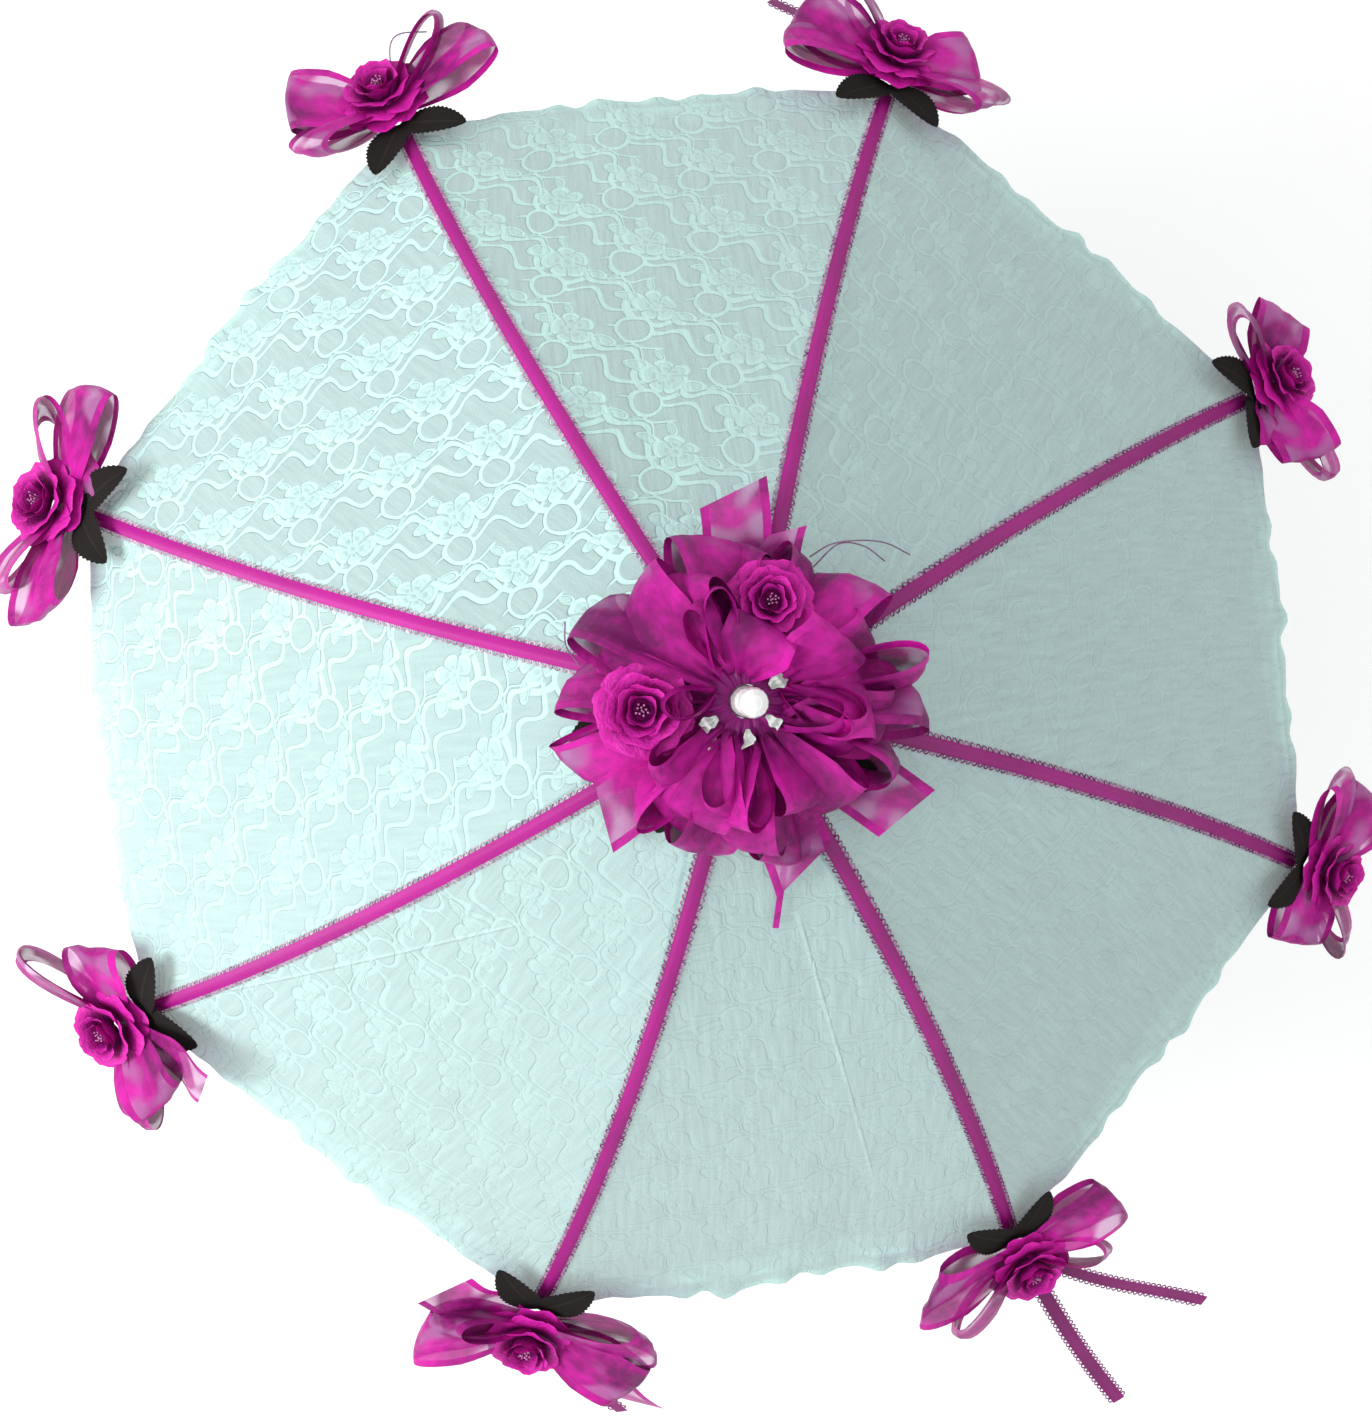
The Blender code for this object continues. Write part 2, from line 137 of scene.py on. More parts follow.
# Trimmings at the rib tips
TIP_ROSE_SCALE, ROSE_TILT, ROSE_OUT, ROSE_DOWN = 1.13, math.radians(35), 0.026, 0.006
KNOT_OUT, KNOT_UP, TIP_RISE = 0.018, 0.0075, 0.010
TIP_LEAF_LONG, TIP_LEAF_PLACE = 0.050, (0.004, 0, 0.0056)

# Loops of each tip's bow: direction in degrees from outward, reach in millimetres, twist and lift in degrees
TIP_LOOPS = (
    ((114, 72, 15, 12), (80, 62, -40, 20), (-108, 56, 35, 10), (-64, 60, -20, 22)),
    ((106, 62, 20, 14), (50, 56, -30, 20), (-94, 74, -15, 10), (-114, 62, 50, 18)),
    ((104, 78, 10, 8), (82, 72, -35, 16), (48, 62, 40, 24), (-106, 74, -10, 10), (-78, 55, 40, 20)),
    ((100, 62, 15, 10), (64, 66, -25, 20), (-90, 78, 10, 14), (-62, 70, -50, 24)),
    ((104, 74, -5, 8), (76, 66, 20, 16), (-100, 80, 5, 10), (-72, 66, -30, 20)),
    ((72, 70, 10, 12), (100, 60, -20, 16), (-112, 58, 15, 12), (-68, 80, -30, 18)),
    ((110, 82, 10, 10), (84, 78, -30, 18), (-70, 76, 20, 12), (-96, 62, -40, 20)),
    ((108, 76, -25, 10), (68, 62, 40, 20), (-112, 78, 15, 10), (-80, 70, -15, 18)),
)
# Cut organza tails of the bows: tip, direction, length
TIP_TAILS = (
    (5, 132, 0.078), (6, -112, 0.066), (6, 62, 0.090), (4, -128, 0.040), (1, -128, 0.045), (0, 40, 0.050),
)
# Satin tails with picots: tip, direction and lift in degrees, length, how far they bend sideways
SATIN_TAILS = (
    (7, 44, 25, 0.142, 0.004), (7, 0, 25, 0.157, 0.013), (2, 64, 6, 0.094, 0.010), (6, 40, 8, 0.104, 0.014),
)
# Velvet leaves of each tip: directions in degrees
TIP_LEAVES = (
    (142, -140), (138, -146), (140, -136), (144, -134), (150, -138), (138, -146), (144, -140), (138, -148),
)

# Loops of the bunch: azimuth in degrees, start radius and reach in mm, twist and lift in degrees, rise in mm
BUNCH_LOOPS = (
    (121, 16, 74, 28, 10, 12), (134, 16, 58, -50, 22, 12), (150, 16, 66, -18, 16, 15),
    (167, 16, 78, 34, 12, 13), (180, 18, 62, -40, 6, 10), (191, 18, 77, 44, 3, 8), (219, 18, 80, -24, 3, 8),
    (240, 16, 64, 58, 8, 10), (255, 16, 58, -10, 14, 12), (268, 16, 68, -30, 10, 15),
    (287, 16, 62, 26, 12, 14),
    (301, 16, 76, -46, 5, 10), (330, 16, 60, 30, 12, 13), (352, 16, 75, -66, 8, 13), (8, 18, 58, 20, 14, 13),
    (17, 18, 76, -26, 8, 13), (27, 18, 78, 68, 10, 13), (44, 16, 60, 36, 12, 10), (62, 16, 74, -28, 8, 12),
    (82, 16, 66, 48, 6, 10), (106, 16, 68, -56, 6, 10),
)
# Short loops that stand up inside the bunch, each turned off its own azimuth by up to CURL_TURN degrees
BUNCH_CURLS = (
    (128, 20, 40, 50, 36, 10), (150, 22, 44, -64, 28, 12), (112, 13, 32, 8, 44, 10),
    (232, 22, 42, -50, 30, 11), (250, 18, 50, 40, 24, 14), (268, 20, 44, -70, 36, 12),
    (284, 18, 52, 18, 26, 13), (300, 22, 46, 66, 34, 11), (316, 18, 46, -34, 24, 13),
    (338, 22, 40, 52, 36, 11), (356, 20, 46, -24, 28, 12), (16, 22, 42, 74, 34, 12),
    (38, 20, 46, -46, 30, 12), (60, 20, 42, 30, 36, 11), (180, 18, 30, 70, 30, 9),
)
CURL_TURN = 48
# Cut tails of the bunch: azimuth, length, turn about its own length
BUNCH_TAILS = ((108, 0.098, 12), (96, 0.076, -30), (342, 0.094, 8), (236, 0.082, -10), (306, 0.084, 20))
# The thin satin tail that hangs from the bunch, as seen from above
THIN_START, THIN_END = (0.036, -0.026), (0.0553, -0.1143)
# Leaves of the bunch: azimuth, start radius
BUNCH_LEAVES = ((203, 0.055), (246, 0.045), (339, 0.050), (71, 0.040))
BUNCH_LEAF_LONG = 0.040
# Roses of the bunch: azimuth, radius, scale
BUNCH_ROSES = ((200.7, 0.052, 1.0), (92.4, 0.052, 0.9))
# Tufts of lace at the foot of the ferrule: azimuth in degrees, radius and width in millimetres
LACE_TUFTS = ((49, 18, 8), (339, 16, 6), (289, 18, 7), (226, 21, 7), (246, 28, 4))
# Gathered organza round the ferrule's foot: inner radius, spread and height
HOLLOW_IN_R, HOLLOW_OUT, HOLLOW_UP = 0.0088, 0.022, 0.0075

# Rings of a rose: petals, half angle in degrees, base and rim as (radius, height), curl
ROSE_RINGS = (
    (3, 75, (0.0045, 0.007), (0.0072, 0.0180), 0.0006),
    (4, 58, (0.0050, 0.005), (0.0115, 0.0185), 0.0016),
    (5, 47, (0.0050, 0.003), (0.0165, 0.0150), 0.0026),
    (6, 39, (0.0050, 0.002), (0.0215, 0.0095), 0.0034),
    (6, 38, (0.0020, 0.001), (0.0235, 0.0035), 0.0026),
)
STAMENS, STAMEN_R, BEAD_STEP = 11, 0.0002, 0.0003
BEAD_RADII = (0.0001, 0.0005, 0.0006, 0.0004, 0.0001)

# Loose ends of tie wire: piece, the rib tip they ride on, if any, and the points of each end
WIRE_R = 0.00045
WIRES = (
    ("bunch_wires", None, (
        ((0.0127, 0.0817, 0.556), (0.0214, 0.0909, 0.560), (0.0347, 0.0971, 0.557), (0.0502, 0.1011, 0.548),
         (0.0673, 0.1008, 0.532)),
        ((0.0162, 0.0774, 0.554), (0.0249, 0.0920, 0.559), (0.0389, 0.0956, 0.553), (0.0538, 0.0927, 0.540)),
    )),
    ("bunch_wire_end", None, (((-0.086, -0.006, 0.545), (-0.096, 0.002, 0.546), (-0.100, 0.014, 0.550)),)),
    ("bow_wire_end", 3, (
        ((-0.300, 0.312, 0.345), (-0.306, 0.325, 0.352), (-0.3086, 0.3367, 0.355), (-0.3038, 0.3439, 0.356),
         (-0.2899, 0.3507, 0.353)),
    )),
)

# Millimetres in a metre, the range of a random angle, and the colour sockets of a mix node
MM = 1000.0
ANY_ANGLE = (0, 6.28)
MIX_LOW, MIX_HIGH, MIX_RESULT = 6, 7, 2


# Rib line and lace surface


def slope_at(u):
    return SLOPE_IN + BEND * min(u, 1.15)


def rib_point(u):
    """A point on the rib centre line, for u from 0 at the hinge to 1 at the tip."""
    out = (math.sin(slope_at(u)) - math.sin(SLOPE_IN)) / BEND
    down = (math.cos(SLOPE_IN) - math.cos(slope_at(u))) / BEND
    side = SWIRL * 4 * u * (1 - u) if 0 < u < 1 else 0.0
    return Vector((HINGE_R + RIB_LONG * out, side, CROWN_Z - RIB_LONG * down))


def rib_normal(u):
    return Vector((math.sin(slope_at(u)), 0, math.cos(slope_at(u))))


def rib_share(radius):
    """The u at which the rib reaches this distance from the shaft line."""
    low, high = 0.0, 1.2
    for _ in range(40):
        middle = (low + high) / 2
        low, high = (middle, high) if rib_point(middle).x < radius else (low, middle)
    return low


def half_gore(u):
    return rib_point(u).x * math.sin(STEP / 2)


def pucker(gore, u, across, beyond):
    """How far the lace lifts: soft creases, a seam along the line between the tips and a ruffle beyond it.

    across runs from -1 at one rib to 1 at the next, and the lift is 0 at both ribs. beyond is in metres.
    """
    creases = 0.0
    for k in range(5):
        phase = 1.7 * gore + 2.3 * k
        creases += math.sin((7 + 3 * k) * across + phase + 5 * u) * math.sin((4 + k) * u + phase) / (1 + k)
    ruffle = math.sin(31 * across + 1.3 * gore) + 0.5 * math.sin(47 * across + 2.1 * gore)
    seam = math.exp(-((beyond / SEAM_W) ** 2)) * SEAM_UP
    loose = max(0.0, beyond)
    free = math.cos(across * math.pi / 2)
    return free * (PUCKER * creases * u + RUFFLE * loose * ruffle + seam - DROOP * loose)


def hem_reach(gore, across):
    """How far the loose edge stands beyond the line between two tips, as a share of the rib."""
    wave = 1 + 0.22 * math.sin(8 * across + 2.7 * gore) + 0.06 * math.sin(19 * across + 1.9 * gore)
    size = LONG_GORE_HEM if gore == LONG_GORE else 1.0
    return HEM_OUT * size * (1 - across * across) * wave


def gore_at(rib, across):
    """The gore at a place over a rib, and where it is there, from -1 at one rib to 1 at the next."""
    side = math.copysign(1, across)
    return rib if side > 0 else (rib - 1) % RIBS, (abs(across) - 1) * side


def lace_point(u, across, height, rib):
    """A point of the lace over a rib: across runs from -1 to 1 between the middles of two gores."""
    side, share = math.copysign(1, across), abs(across)
    gore, v = gore_at(rib, across)
    u *= 1 + hem_reach(gore, v) * max(0.0, u) ** 6
    start = rib_point(u)
    middle = (start + Matrix.Rotation(side * STEP, 3, "Z") @ start) / 2
    point = start.lerp(middle, share)
    point.z -= SAG * share * (2 - share) * 4 * u * max(0.0, 1 - u)
    lift = pucker(gore, u, v, (u - 1) * RIB_LONG)
    turn = Matrix.Rotation(side * STEP / 2 * share, 3, "Z")
    return point + turn @ rib_normal(u) * (height + lift)


# Mesh helpers


def new_object(name, points, faces, material, smooth=True):
    mesh = bpy.data.meshes.new(name)
    mesh.from_pydata([tuple(point) for point in points], [], faces)
    mesh.polygons.foreach_set("use_smooth", [smooth] * len(mesh.polygons))
    mesh.materials.append(material)
    mesh.update()
    obj = bpy.data.objects.new(name, mesh)
    bpy.context.scene.collection.objects.link(obj)
    return obj


def grid(rows, columns, at, uv_at=None):
    """Points, faces and texture coordinates of a grid, from at(i, j) and uv_at(i, j)."""
    wide = columns + 1
    points = [at(i, j) for i in range(rows + 1) for j in range(wide)]
    faces = []
    for i in range(rows):
        for j in range(columns):
            a = i * wide + j
            faces.append((a, a + 1, a + wide + 1, a + wide))
    uvs = [uv_at(i, j) for i in range(rows + 1) for j in range(wide)] if uv_at else None
    return points, faces, uvs


def set_uvs(obj, uvs, name="cloth"):
    layer = obj.data.uv_layers.new(name=name)
    for loop in obj.data.loops:
        layer.data[loop.index].uv = uvs[loop.vertex_index]


def set_values(obj, name, values):
    obj.data.attributes.new(name, "FLOAT", "POINT").data.foreach_set("value", values)


def join(parts):
    """One (points, faces, uvs) from several."""
    points, faces, uvs = [], [], []
    for more_points, more_faces, more_uvs in parts:
        start = len(points)
        points += more_points
        faces += [tuple(start + k for k in face) for face in more_faces]
        uvs += more_uvs or [(0, 0)] * len(more_points)
    return points, faces, uvs


def moved(part, matrix):
    points, faces, uvs = part
    return [matrix @ Vector(point) for point in points], faces, uvs


# Materials


class Field:
    """A number that varies over a surface, so that node maths can be written as plain sums."""

    tree = None

    def __init__(self, socket):
        self.socket = socket

    @staticmethod
    def node(operation, *values):
        node = Field.tree.nodes.new("ShaderNodeMath")
        node.operation = operation
        for slot, value in zip(node.inputs, values):
            if isinstance(value, Field):
                Field.tree.links.new(value.socket, slot)
            else:
                slot.default_value = value
        return Field(node.outputs[0])

    def __add__(self, other):
        return Field.node("ADD", self, other)

    def __sub__(self, other):
        return Field.node("SUBTRACT", self, other)

    def __mul__(self, other):
        return Field.node("MULTIPLY", self, other)

    def __truediv__(self, other):
        return Field.node("DIVIDE", self, other)

    __radd__ = __add__

    def __rsub__(self, other):
        return Field.node("SUBTRACT", other, self)

    def __mod__(self, size):
        return Field.node("FLOORED_MODULO", self, size)

    def __abs__(self):
        return Field.node("ABSOLUTE", self)


def sine(field):
    return Field.node("SINE", field)


def length(x, y):
    return Field.node("SQRT", x * x + y * y)


def most(*fields):
    result = fields[0]
    for field in fields[1:]:
        result = Field.node("MAXIMUM", result, field)
    return result


def inside(distance, edge, soft=0.5):
    """1 where distance is under edge, 0 beyond edge + soft."""
    node = Field.tree.nodes.new("ShaderNodeMapRange")
    node.interpolation_type = "SMOOTHSTEP"
    Field.tree.links.new(distance.socket, node.inputs["Value"])
    node.inputs["From Min"].default_value = edge + soft
    node.inputs["From Max"].default_value = edge
    return Field(node.outputs[0])


def line(distance, half, soft=0.45):
    return inside(abs(distance), half, soft)


def surface(name, color, roughness, **sockets):
    """A Principled material; keyword names are its sockets, with underscores for spaces."""
    material = bpy.data.materials.new(name)
    material.use_nodes = True
    shader = material.node_tree.nodes["Principled BSDF"]
    shader.inputs["Base Color"].default_value = (*color, 1)
    shader.inputs["Roughness"].default_value = roughness
    for socket, value in sockets.items():
        shader.inputs[socket.replace("_", " ")].default_value = value
    return material


def color_mix(tree, factor, high):
    """A node that mixes towards the colour high as factor goes from 0 to 1."""
    mix = tree.nodes.new("ShaderNodeMix")
    mix.data_type = "RGBA"
    tree.links.new(factor.socket, mix.inputs["Factor"])
    mix.inputs[MIX_HIGH].default_value = (*high, 1)
    return mix


def link_color(material, factor, low, high):
    """Base colour from low to high as factor goes from 0 to 1."""
    tree = material.node_tree
    mix = color_mix(tree, factor, high)
    mix.inputs[MIX_LOW].default_value = (*low, 1)
    link_field(material, "Base Color", Field(mix.outputs[MIX_RESULT]))


def tint(material, factor, color):
    """Mixes the base colour that is already there towards another, as factor goes from 0 to 1."""
    tree = material.node_tree
    base = tree.nodes["Principled BSDF"].inputs["Base Color"]
    mix = color_mix(tree, factor, color)
    tree.links.new(base.links[0].from_socket, mix.inputs[MIX_LOW])
    tree.links.new(mix.outputs[MIX_RESULT], base)


def link_field(material, socket, field):
    """Lets a field drive one socket of the material's shader."""
    tree = material.node_tree
    tree.links.new(field.socket, tree.nodes["Principled BSDF"].inputs[socket])


def link_bump(material, height, distance, strength=1.0):
    tree = material.node_tree
    bump = tree.nodes.new("ShaderNodeBump")
    bump.inputs["Distance"].default_value, bump.inputs["Strength"].default_value = distance, strength
    tree.links.new(height.socket, bump.inputs["Height"])
    link_field(material, "Normal", Field(bump.outputs[0]))


def cloth_place(material):
    """The socket of the material's own cloth coordinates; its later fields are made in this material."""
    Field.tree = material.node_tree
    uv = Field.tree.nodes.new("ShaderNodeUVMap")
    uv.uv_map = "cloth"
    return uv.outputs[0]


def object_place(material):
    """The socket of places on the object in metres; its later fields are made in this material."""
    Field.tree = material.node_tree
    return Field.tree.nodes.new("ShaderNodeTexCoord").outputs["Object"]


def stretched(place, scale):
    mapping = Field.tree.nodes.new("ShaderNodeMapping")
    mapping.inputs["Scale"].default_value = scale
    Field.tree.links.new(place, mapping.inputs["Vector"])
    return mapping.outputs[0]


def split(place, scale=1.0):
    """The first two coordinates of a place as fields."""
    node = Field.tree.nodes.new("ShaderNodeSeparateXYZ")
    Field.tree.links.new(place, node.inputs[0])
    return Field(node.outputs[0]) * scale, Field(node.outputs[1]) * scale


def noise(place, scale, detail=2.0):
    node = Field.tree.nodes.new("ShaderNodeTexNoise")
    node.inputs["Scale"].default_value, node.inputs["Detail"].default_value = scale, detail
    Field.tree.links.new(place, node.inputs["Vector"])
    return Field(node.outputs[0])


def attribute(name):
    node = Field.tree.nodes.new("ShaderNodeAttribute")
    node.attribute_name = name
    return Field(node.outputs["Fac"])


def finish_material(name, low, high, roughness, scale, relief, stretch=(1, 1, 1), **sockets):
    """A finish that wanders between two tones, with a fine relief. scale counts its patches in a metre."""
    material = surface(name, high, roughness, **sockets)
    place = stretched(object_place(material), stretch)
    broad, fine = noise(place, scale, 3.0), noise(place, scale * 8, 2.0)
    link_color(material, broad * 1.3 + fine * 0.6 - 0.45, low, high)
    link_field(material, "Roughness", broad * 0.16 + (roughness - 0.08))
    link_bump(material, fine, relief)
    return material


def frame_finishes():
    """What the wire, the lacquered wood and the plastic of the frame look like."""
    coat = {"Coat_Weight": 0.5, "Coat_Roughness": 0.1}
    wire = finish_material("white_enamel", (0.66, 0.69, 0.69), (0.84, 0.86, 0.86), 0.32, 90, 0.00008)
    wood = finish_material(
        "white_lacquer", (0.72, 0.71, 0.67), (0.87, 0.87, 0.85), 0.26, 160, 0.00012, (1, 1, 0.06), **coat
    )
    plastic = finish_material(
        "white_plastic", (0.78, 0.79, 0.78), (0.88, 0.89, 0.88), 0.24, 60, 0.00004, Coat_Weight=0.3
    )
    return {"frame_wire": wire, "white_wood": wood, "white_plastic": plastic}


def crease(x, y, start, end):
    """A thin pressed fold from start to end, which are in metres, at the field place x, y in millimetres."""
    start, end = Vector(start) * MM, Vector(end) * MM
    long, along = (end - start).length, (end - start).normalized()
    s = (x - start.x) * along.x + (y - start.y) * along.y
    aside = (y - start.y) * along.x - (x - start.x) * along.y
    length_share = inside(abs(s - long / 2), long / 2 - CREASE_FADE, CREASE_FADE)
    return line(aside, CREASE_HALF, CREASE_SOFT) * length_share


def repeat_place(cloth):
    """Where a place on the cloth lies from the middle of its own flower, as two fields in millimetres."""
    across, along = split(cloth, MM)
    wander, rise = ((noise(cloth, scale, 1.0) - 0.5) * WANDER for scale in (30.0, 41.0))
    p = across * math.cos(ROW_SLANT) + along * math.sin(ROW_SLANT) + wander
    q = along * math.cos(ROW_SLANT) - across * math.sin(ROW_SLANT) + rise
    row = Field.node("FLOOR", q / REPEAT_H)
    return REPEAT_W / 2 - (p - row * ROW_SLIP) % REPEAT_W, q - (row + 0.5) * REPEAT_H


def strand(distance, wobble):
    """A cord of uneven width along the line where distance is 0."""
    return inside(abs(distance) - wobble, 0.75, 1.0)


def flower(x, y):
    """Five petals with gaps between them, eyelets round a small heart."""
    radius, angle = length(x / 1.3, y * 1.05), Field.node("ARCTAN2", y, x)
    lobe = abs(Field.node("COSINE", angle * 2.5 + 0.6))
    reach = 8.2 + Field.node("SQRT", lobe) * 3.6
    gap = inside(lobe * radius, 0.5, 0.9) * inside(radius, 9.0, 2.0) * (1.0 - inside(radius, 3.0))
    eyelets = inside(abs(radius - 4.8), 0.6, 0.7) * (1.0 - inside(lobe, 0.7, 0.2))
    petals = inside(radius - reach, -0.4, 1.0) * 0.62 + line(radius - reach + 1.3, 0.8, 0.8) * 0.38
    heart = inside(radius, 0.8, 0.6)
    return petals * (1.0 - gap * 0.7) * (1.0 - eyelets * 0.6) * (1.0 - heart * 0.6)


def lace_leaf(x, y, middle, tilt, long, half):
    """A thin-clothed oval with a strong rim."""
    a = (x - middle[0]) * math.cos(tilt) + (y - middle[1]) * math.sin(tilt)
    b = (y - middle[1]) * math.cos(tilt) - (x - middle[0]) * math.sin(tilt)
    rim = length(a / long, b / half)
    return inside(rim, 0.7, 0.25) * 0.55 + line(rim - 0.9, 0.1, 0.14) * 0.9


def pond_distance(x, y):
    """The distance to the middle of the nearest pond."""
    ponds = []
    for at_x, at_y in POND_PLACES:
        aside = (x - at_x + REPEAT_W / 2) % REPEAT_W - REPEAT_W / 2
        ponds.append(length(aside, (y - at_y) * 1.08))
    return Field.node("MINIMUM", *ponds)


def wavy_cords(x, y, wobble):
    """The waving cords that join one flower of a row to the next, with a bud between the two."""
    middle = x % REPEAT_W - REPEAT_W / 2
    wave = middle * (2 * math.pi / REPEAT_W) * 2.0
    upper = y - sine(wave + 0.6) * 5.0 - 1.0
    lower = y + 12.5 - sine(wave + 2.4) * 4.6
    thin = y - 13.5 - sine(wave + 3.6) * 4.2
    between = inside(abs(middle), 17.0, 4.0)
    cords = most(strand(upper, wobble), line(upper - 3.8, 0.5, 0.7), lace_leaf(x, y, *LACE_BUD)) * between
    lower_cord = strand(lower, wobble) * inside(abs(middle), 23.0, 4.0)
    return most(cords, lower_cord, line(thin, 0.7, 0.8) * between)


def lace_motif(x, y, wobble):
    """How much thread there is, from 0 on open net to 1 on the cords."""
    skirt = strand(length(x / 1.25, y + 1.0) - 13.6, wobble) * inside(y, -6.0, 3.0)
    leaves = most(*(lace_leaf(x, y, *leaf) for leaf in LACE_LEAVES))
    ponds = pond_distance(x, y)
    rims = strand(ponds - POND_RIM_R, wobble)
    motif = most(flower(x, y), skirt, leaves, rims, wavy_cords(x, y, wobble))
    return motif * (1.0 - inside(ponds, POND_OPEN_R, 0.6))


def lace_material():
    """Lace in slanting rows: five-petal flowers, a pond under each, leaves and wavy cords on fine net."""
    material = surface("mint_lace", (0.6, 0.8, 0.75), 0.8, Specular_IOR_Level=0.3)
    cloth = cloth_place(material)
    motif = lace_motif(*repeat_place(cloth), noise(cloth, 70.0) * 1.2)
    net = noise(cloth, 850.0, 1.0)
    # The wrinkles are relief in the bump; their tone in the colour below is painted shade and light.
    wrinkles_and_shade = noise(stretched(cloth, (260.0, 34.0, 1.0)), 1.0, 4.0)
    patches = noise(cloth, 16.0, 2.0)
    clear, pale = attribute("clear"), attribute("pale")
    # clear is painted light: the motif is painted stronger where glancing light would show it.
    thread = most(motif * clear * (0.75 + patches * 0.5), attribute("border"))
    canopy = split(object_place(material), MM)
    folds_and_painted_light = most(*(crease(*canopy, start, end) for start, end in LACE_CREASES))
    # pale lightens the cloth on the lamp's side as painted light and darkens it on the far side as painted
    # shade; clear darkens the net where the motif is painted strongest; the creases get a lighter line of
    # painted highlight.
    base = pale * 0.38 - clear * 0.20 + folds_and_painted_light * 0.16
    tone = thread * 0.62 + base + (net - 0.5) * 0.16 + (wrinkles_and_shade - 0.5) * 0.34 + 0.08
    link_color(material, tone, *LACE_TONES)
    link_field(material, "Alpha", Field.node("MINIMUM", 0.82 + thread * 0.18 + (net - 0.5) * 0.15, 1.0))
    link_field(material, "Roughness", 0.88 - thread * 0.14)
    link_bump(material, motif * (clear * 0.5 + 0.5) + wrinkles_and_shade * 1.1 + net * 0.2 + folds_and_painted_light * 0.9, 0.0008)
    return material


def satin_material():
    """Finely ribbed satin, painted paler on the lamp's side of the canopy, with broad painted highlights and
    shade along it.
    """
    material = surface("magenta_satin", MAGENTA, 0.38, Anisotropic=0.4, Specular_IOR_Level=0.35)
    cloth = cloth_place(material)
    _, along = split(cloth, MM)
    broad = noise(cloth, 9.0, 1.0)
    # Painted light: pale lightens the ribbons on the lamp's side, and the broad patches paint highlights and
    # shade along their length.
    link_color(material, attribute("pale") * 0.6 + broad * 1.2 - 0.5, *SATIN_TONES)
    link_field(material, "Roughness", broad * 0.2 + 0.28)
    link_bump(material, sine(along * 9.0) * 0.5 + 0.5, 0.0002, 0.5)
    return material


def picot_material():
    """Thread loops, each a little different, painted paler on the lamp's side of the canopy as painted light.
    """
    material = surface("picot_thread", (0.90, 0.58, 0.78), 0.6)
    place = object_place(material)
    loops, strands = noise(place, 260.0, 1.0), noise(place, 2500.0, 1.0)
    link_color(material, attribute("pale") * 0.75 + loops * 1.8 - 1.0, *PICOT_TONES)
    link_field(material, "Roughness", strands * 0.2 + 0.5)
    link_bump(material, strands, 0.0001)
    return material


def organza_material():
    """Sheer ribbon with a satin band along both edges, and clear windows where it stands well out."""
    material = surface("magenta_organza", MAGENTA, 0.36, Specular_IOR_Level=0.3)
    cloth, place = cloth_place(material), object_place(material)
    across, along = split(cloth, MM)
    band = 1.0 - inside(abs(across), MM * (ORGANZA_W / 2 - SATIN_BAND), 0.3)
    crinkle_and_highlights, broad = noise(cloth, 160.0, 2.0), noise(place, 24.0, 1.0)
    weave = sine(across * 12.0) * sine(along * 12.0)
    outer = 1.0 - inside(length(*split(place)), WINDOWS_R, WINDOWS_FADE)
    windows = inside(noise(cloth, 30.0, 1.0), 0.40, 0.10) * outer * (1.0 - band)
    # Painted light: the crinkles and the broad patches paint highlights and shade into the colour, from dark
    # purple to hot pink; the satin bands are a touch lighter.
    link_color(material, crinkle_and_highlights * 1.1 + broad * 2.0 + band * 0.1 - 1.15, *ORGANZA_TONES)
    tint(material, windows * 0.85, SHEER_TONE)
    cover = band + 0.94 - windows * 0.26 + weave * 0.04
    link_field(material, "Alpha", Field.node("MINIMUM", cover, 1.0))
    link_field(material, "Roughness", crinkle_and_highlights * 0.2 + 0.26)
    link_bump(material, crinkle_and_highlights + band * 0.3 + weave * 0.1, 0.0008)
    return material


def hollow_shade_material():
    """Organza bunched so tightly that it looks solid, painted dark as the shade in the hollow round the
    ferrule's foot, with painted shade and light across its folds.
    """
    material = surface("shaded_gathered_organza", (0.2, 0.002, 0.13), 0.45, Specular_IOR_Level=0.3)
    folds_and_painted_light = noise(cloth_place(material), 120.0, 3.0)
    link_color(material, folds_and_painted_light, *HOLLOW_SHADE_TONES)
    link_field(material, "Roughness", folds_and_painted_light * 0.2 + 0.35)
    link_bump(material, folds_and_painted_light, 0.001)
    return material


def petal_material():
    """Cloth petals: painted shade deep in the cup, and painted light towards their rims."""
    material = surface("magenta_petal", MAGENTA, 0.55, Specular_IOR_Level=0.3)
    cloth = cloth_place(material)
    _, rim = split(cloth)
    mottle = noise(cloth, 9.0, 3.0)
    link_color(material, rim * rim * 0.85 + mottle * 0.3 - 0.1, *PETAL_SHADE_TONES)
    link_field(material, "Roughness", mottle * 0.3 + 0.4)
    link_bump(material, mottle, 0.0012)
    return material


def velvet_material():
    """Dark leaf cloth with a nap, a midrib and slanting veins."""
    material = surface("leaf_velvet", (0.02, 0.02, 0.02), 0.95, Specular_IOR_Level=0.1)
    cloth = cloth_place(material)
    across, along = split(cloth)
    veins = line(sine((along - abs(across) * 0.12) * 50.0), 0.12, 0.25)
    midrib = line(across, 0.05, 0.08)
    nap = noise(cloth, 60.0, 3.0)
    link_color(material, nap * 0.8 + midrib * 0.3 + veins * 0.1, *VELVET_TONES)
    link_field(material, "Roughness", nap * 0.15 + 0.85)
    link_bump(material, nap + midrib + veins * 0.5, 0.0006)
    return material


# Canopy


def painted_light(angle):
    """Painted light: how much lighter the lace and the ribbons are painted at this direction round the shaft,
    lightest on the lamp's side and darkest, as painted shade, on the far side.
    """
    return 0.28 + 0.72 * (0.5 + 0.5 * math.cos(angle - LIT_SIDE)) ** 1.6


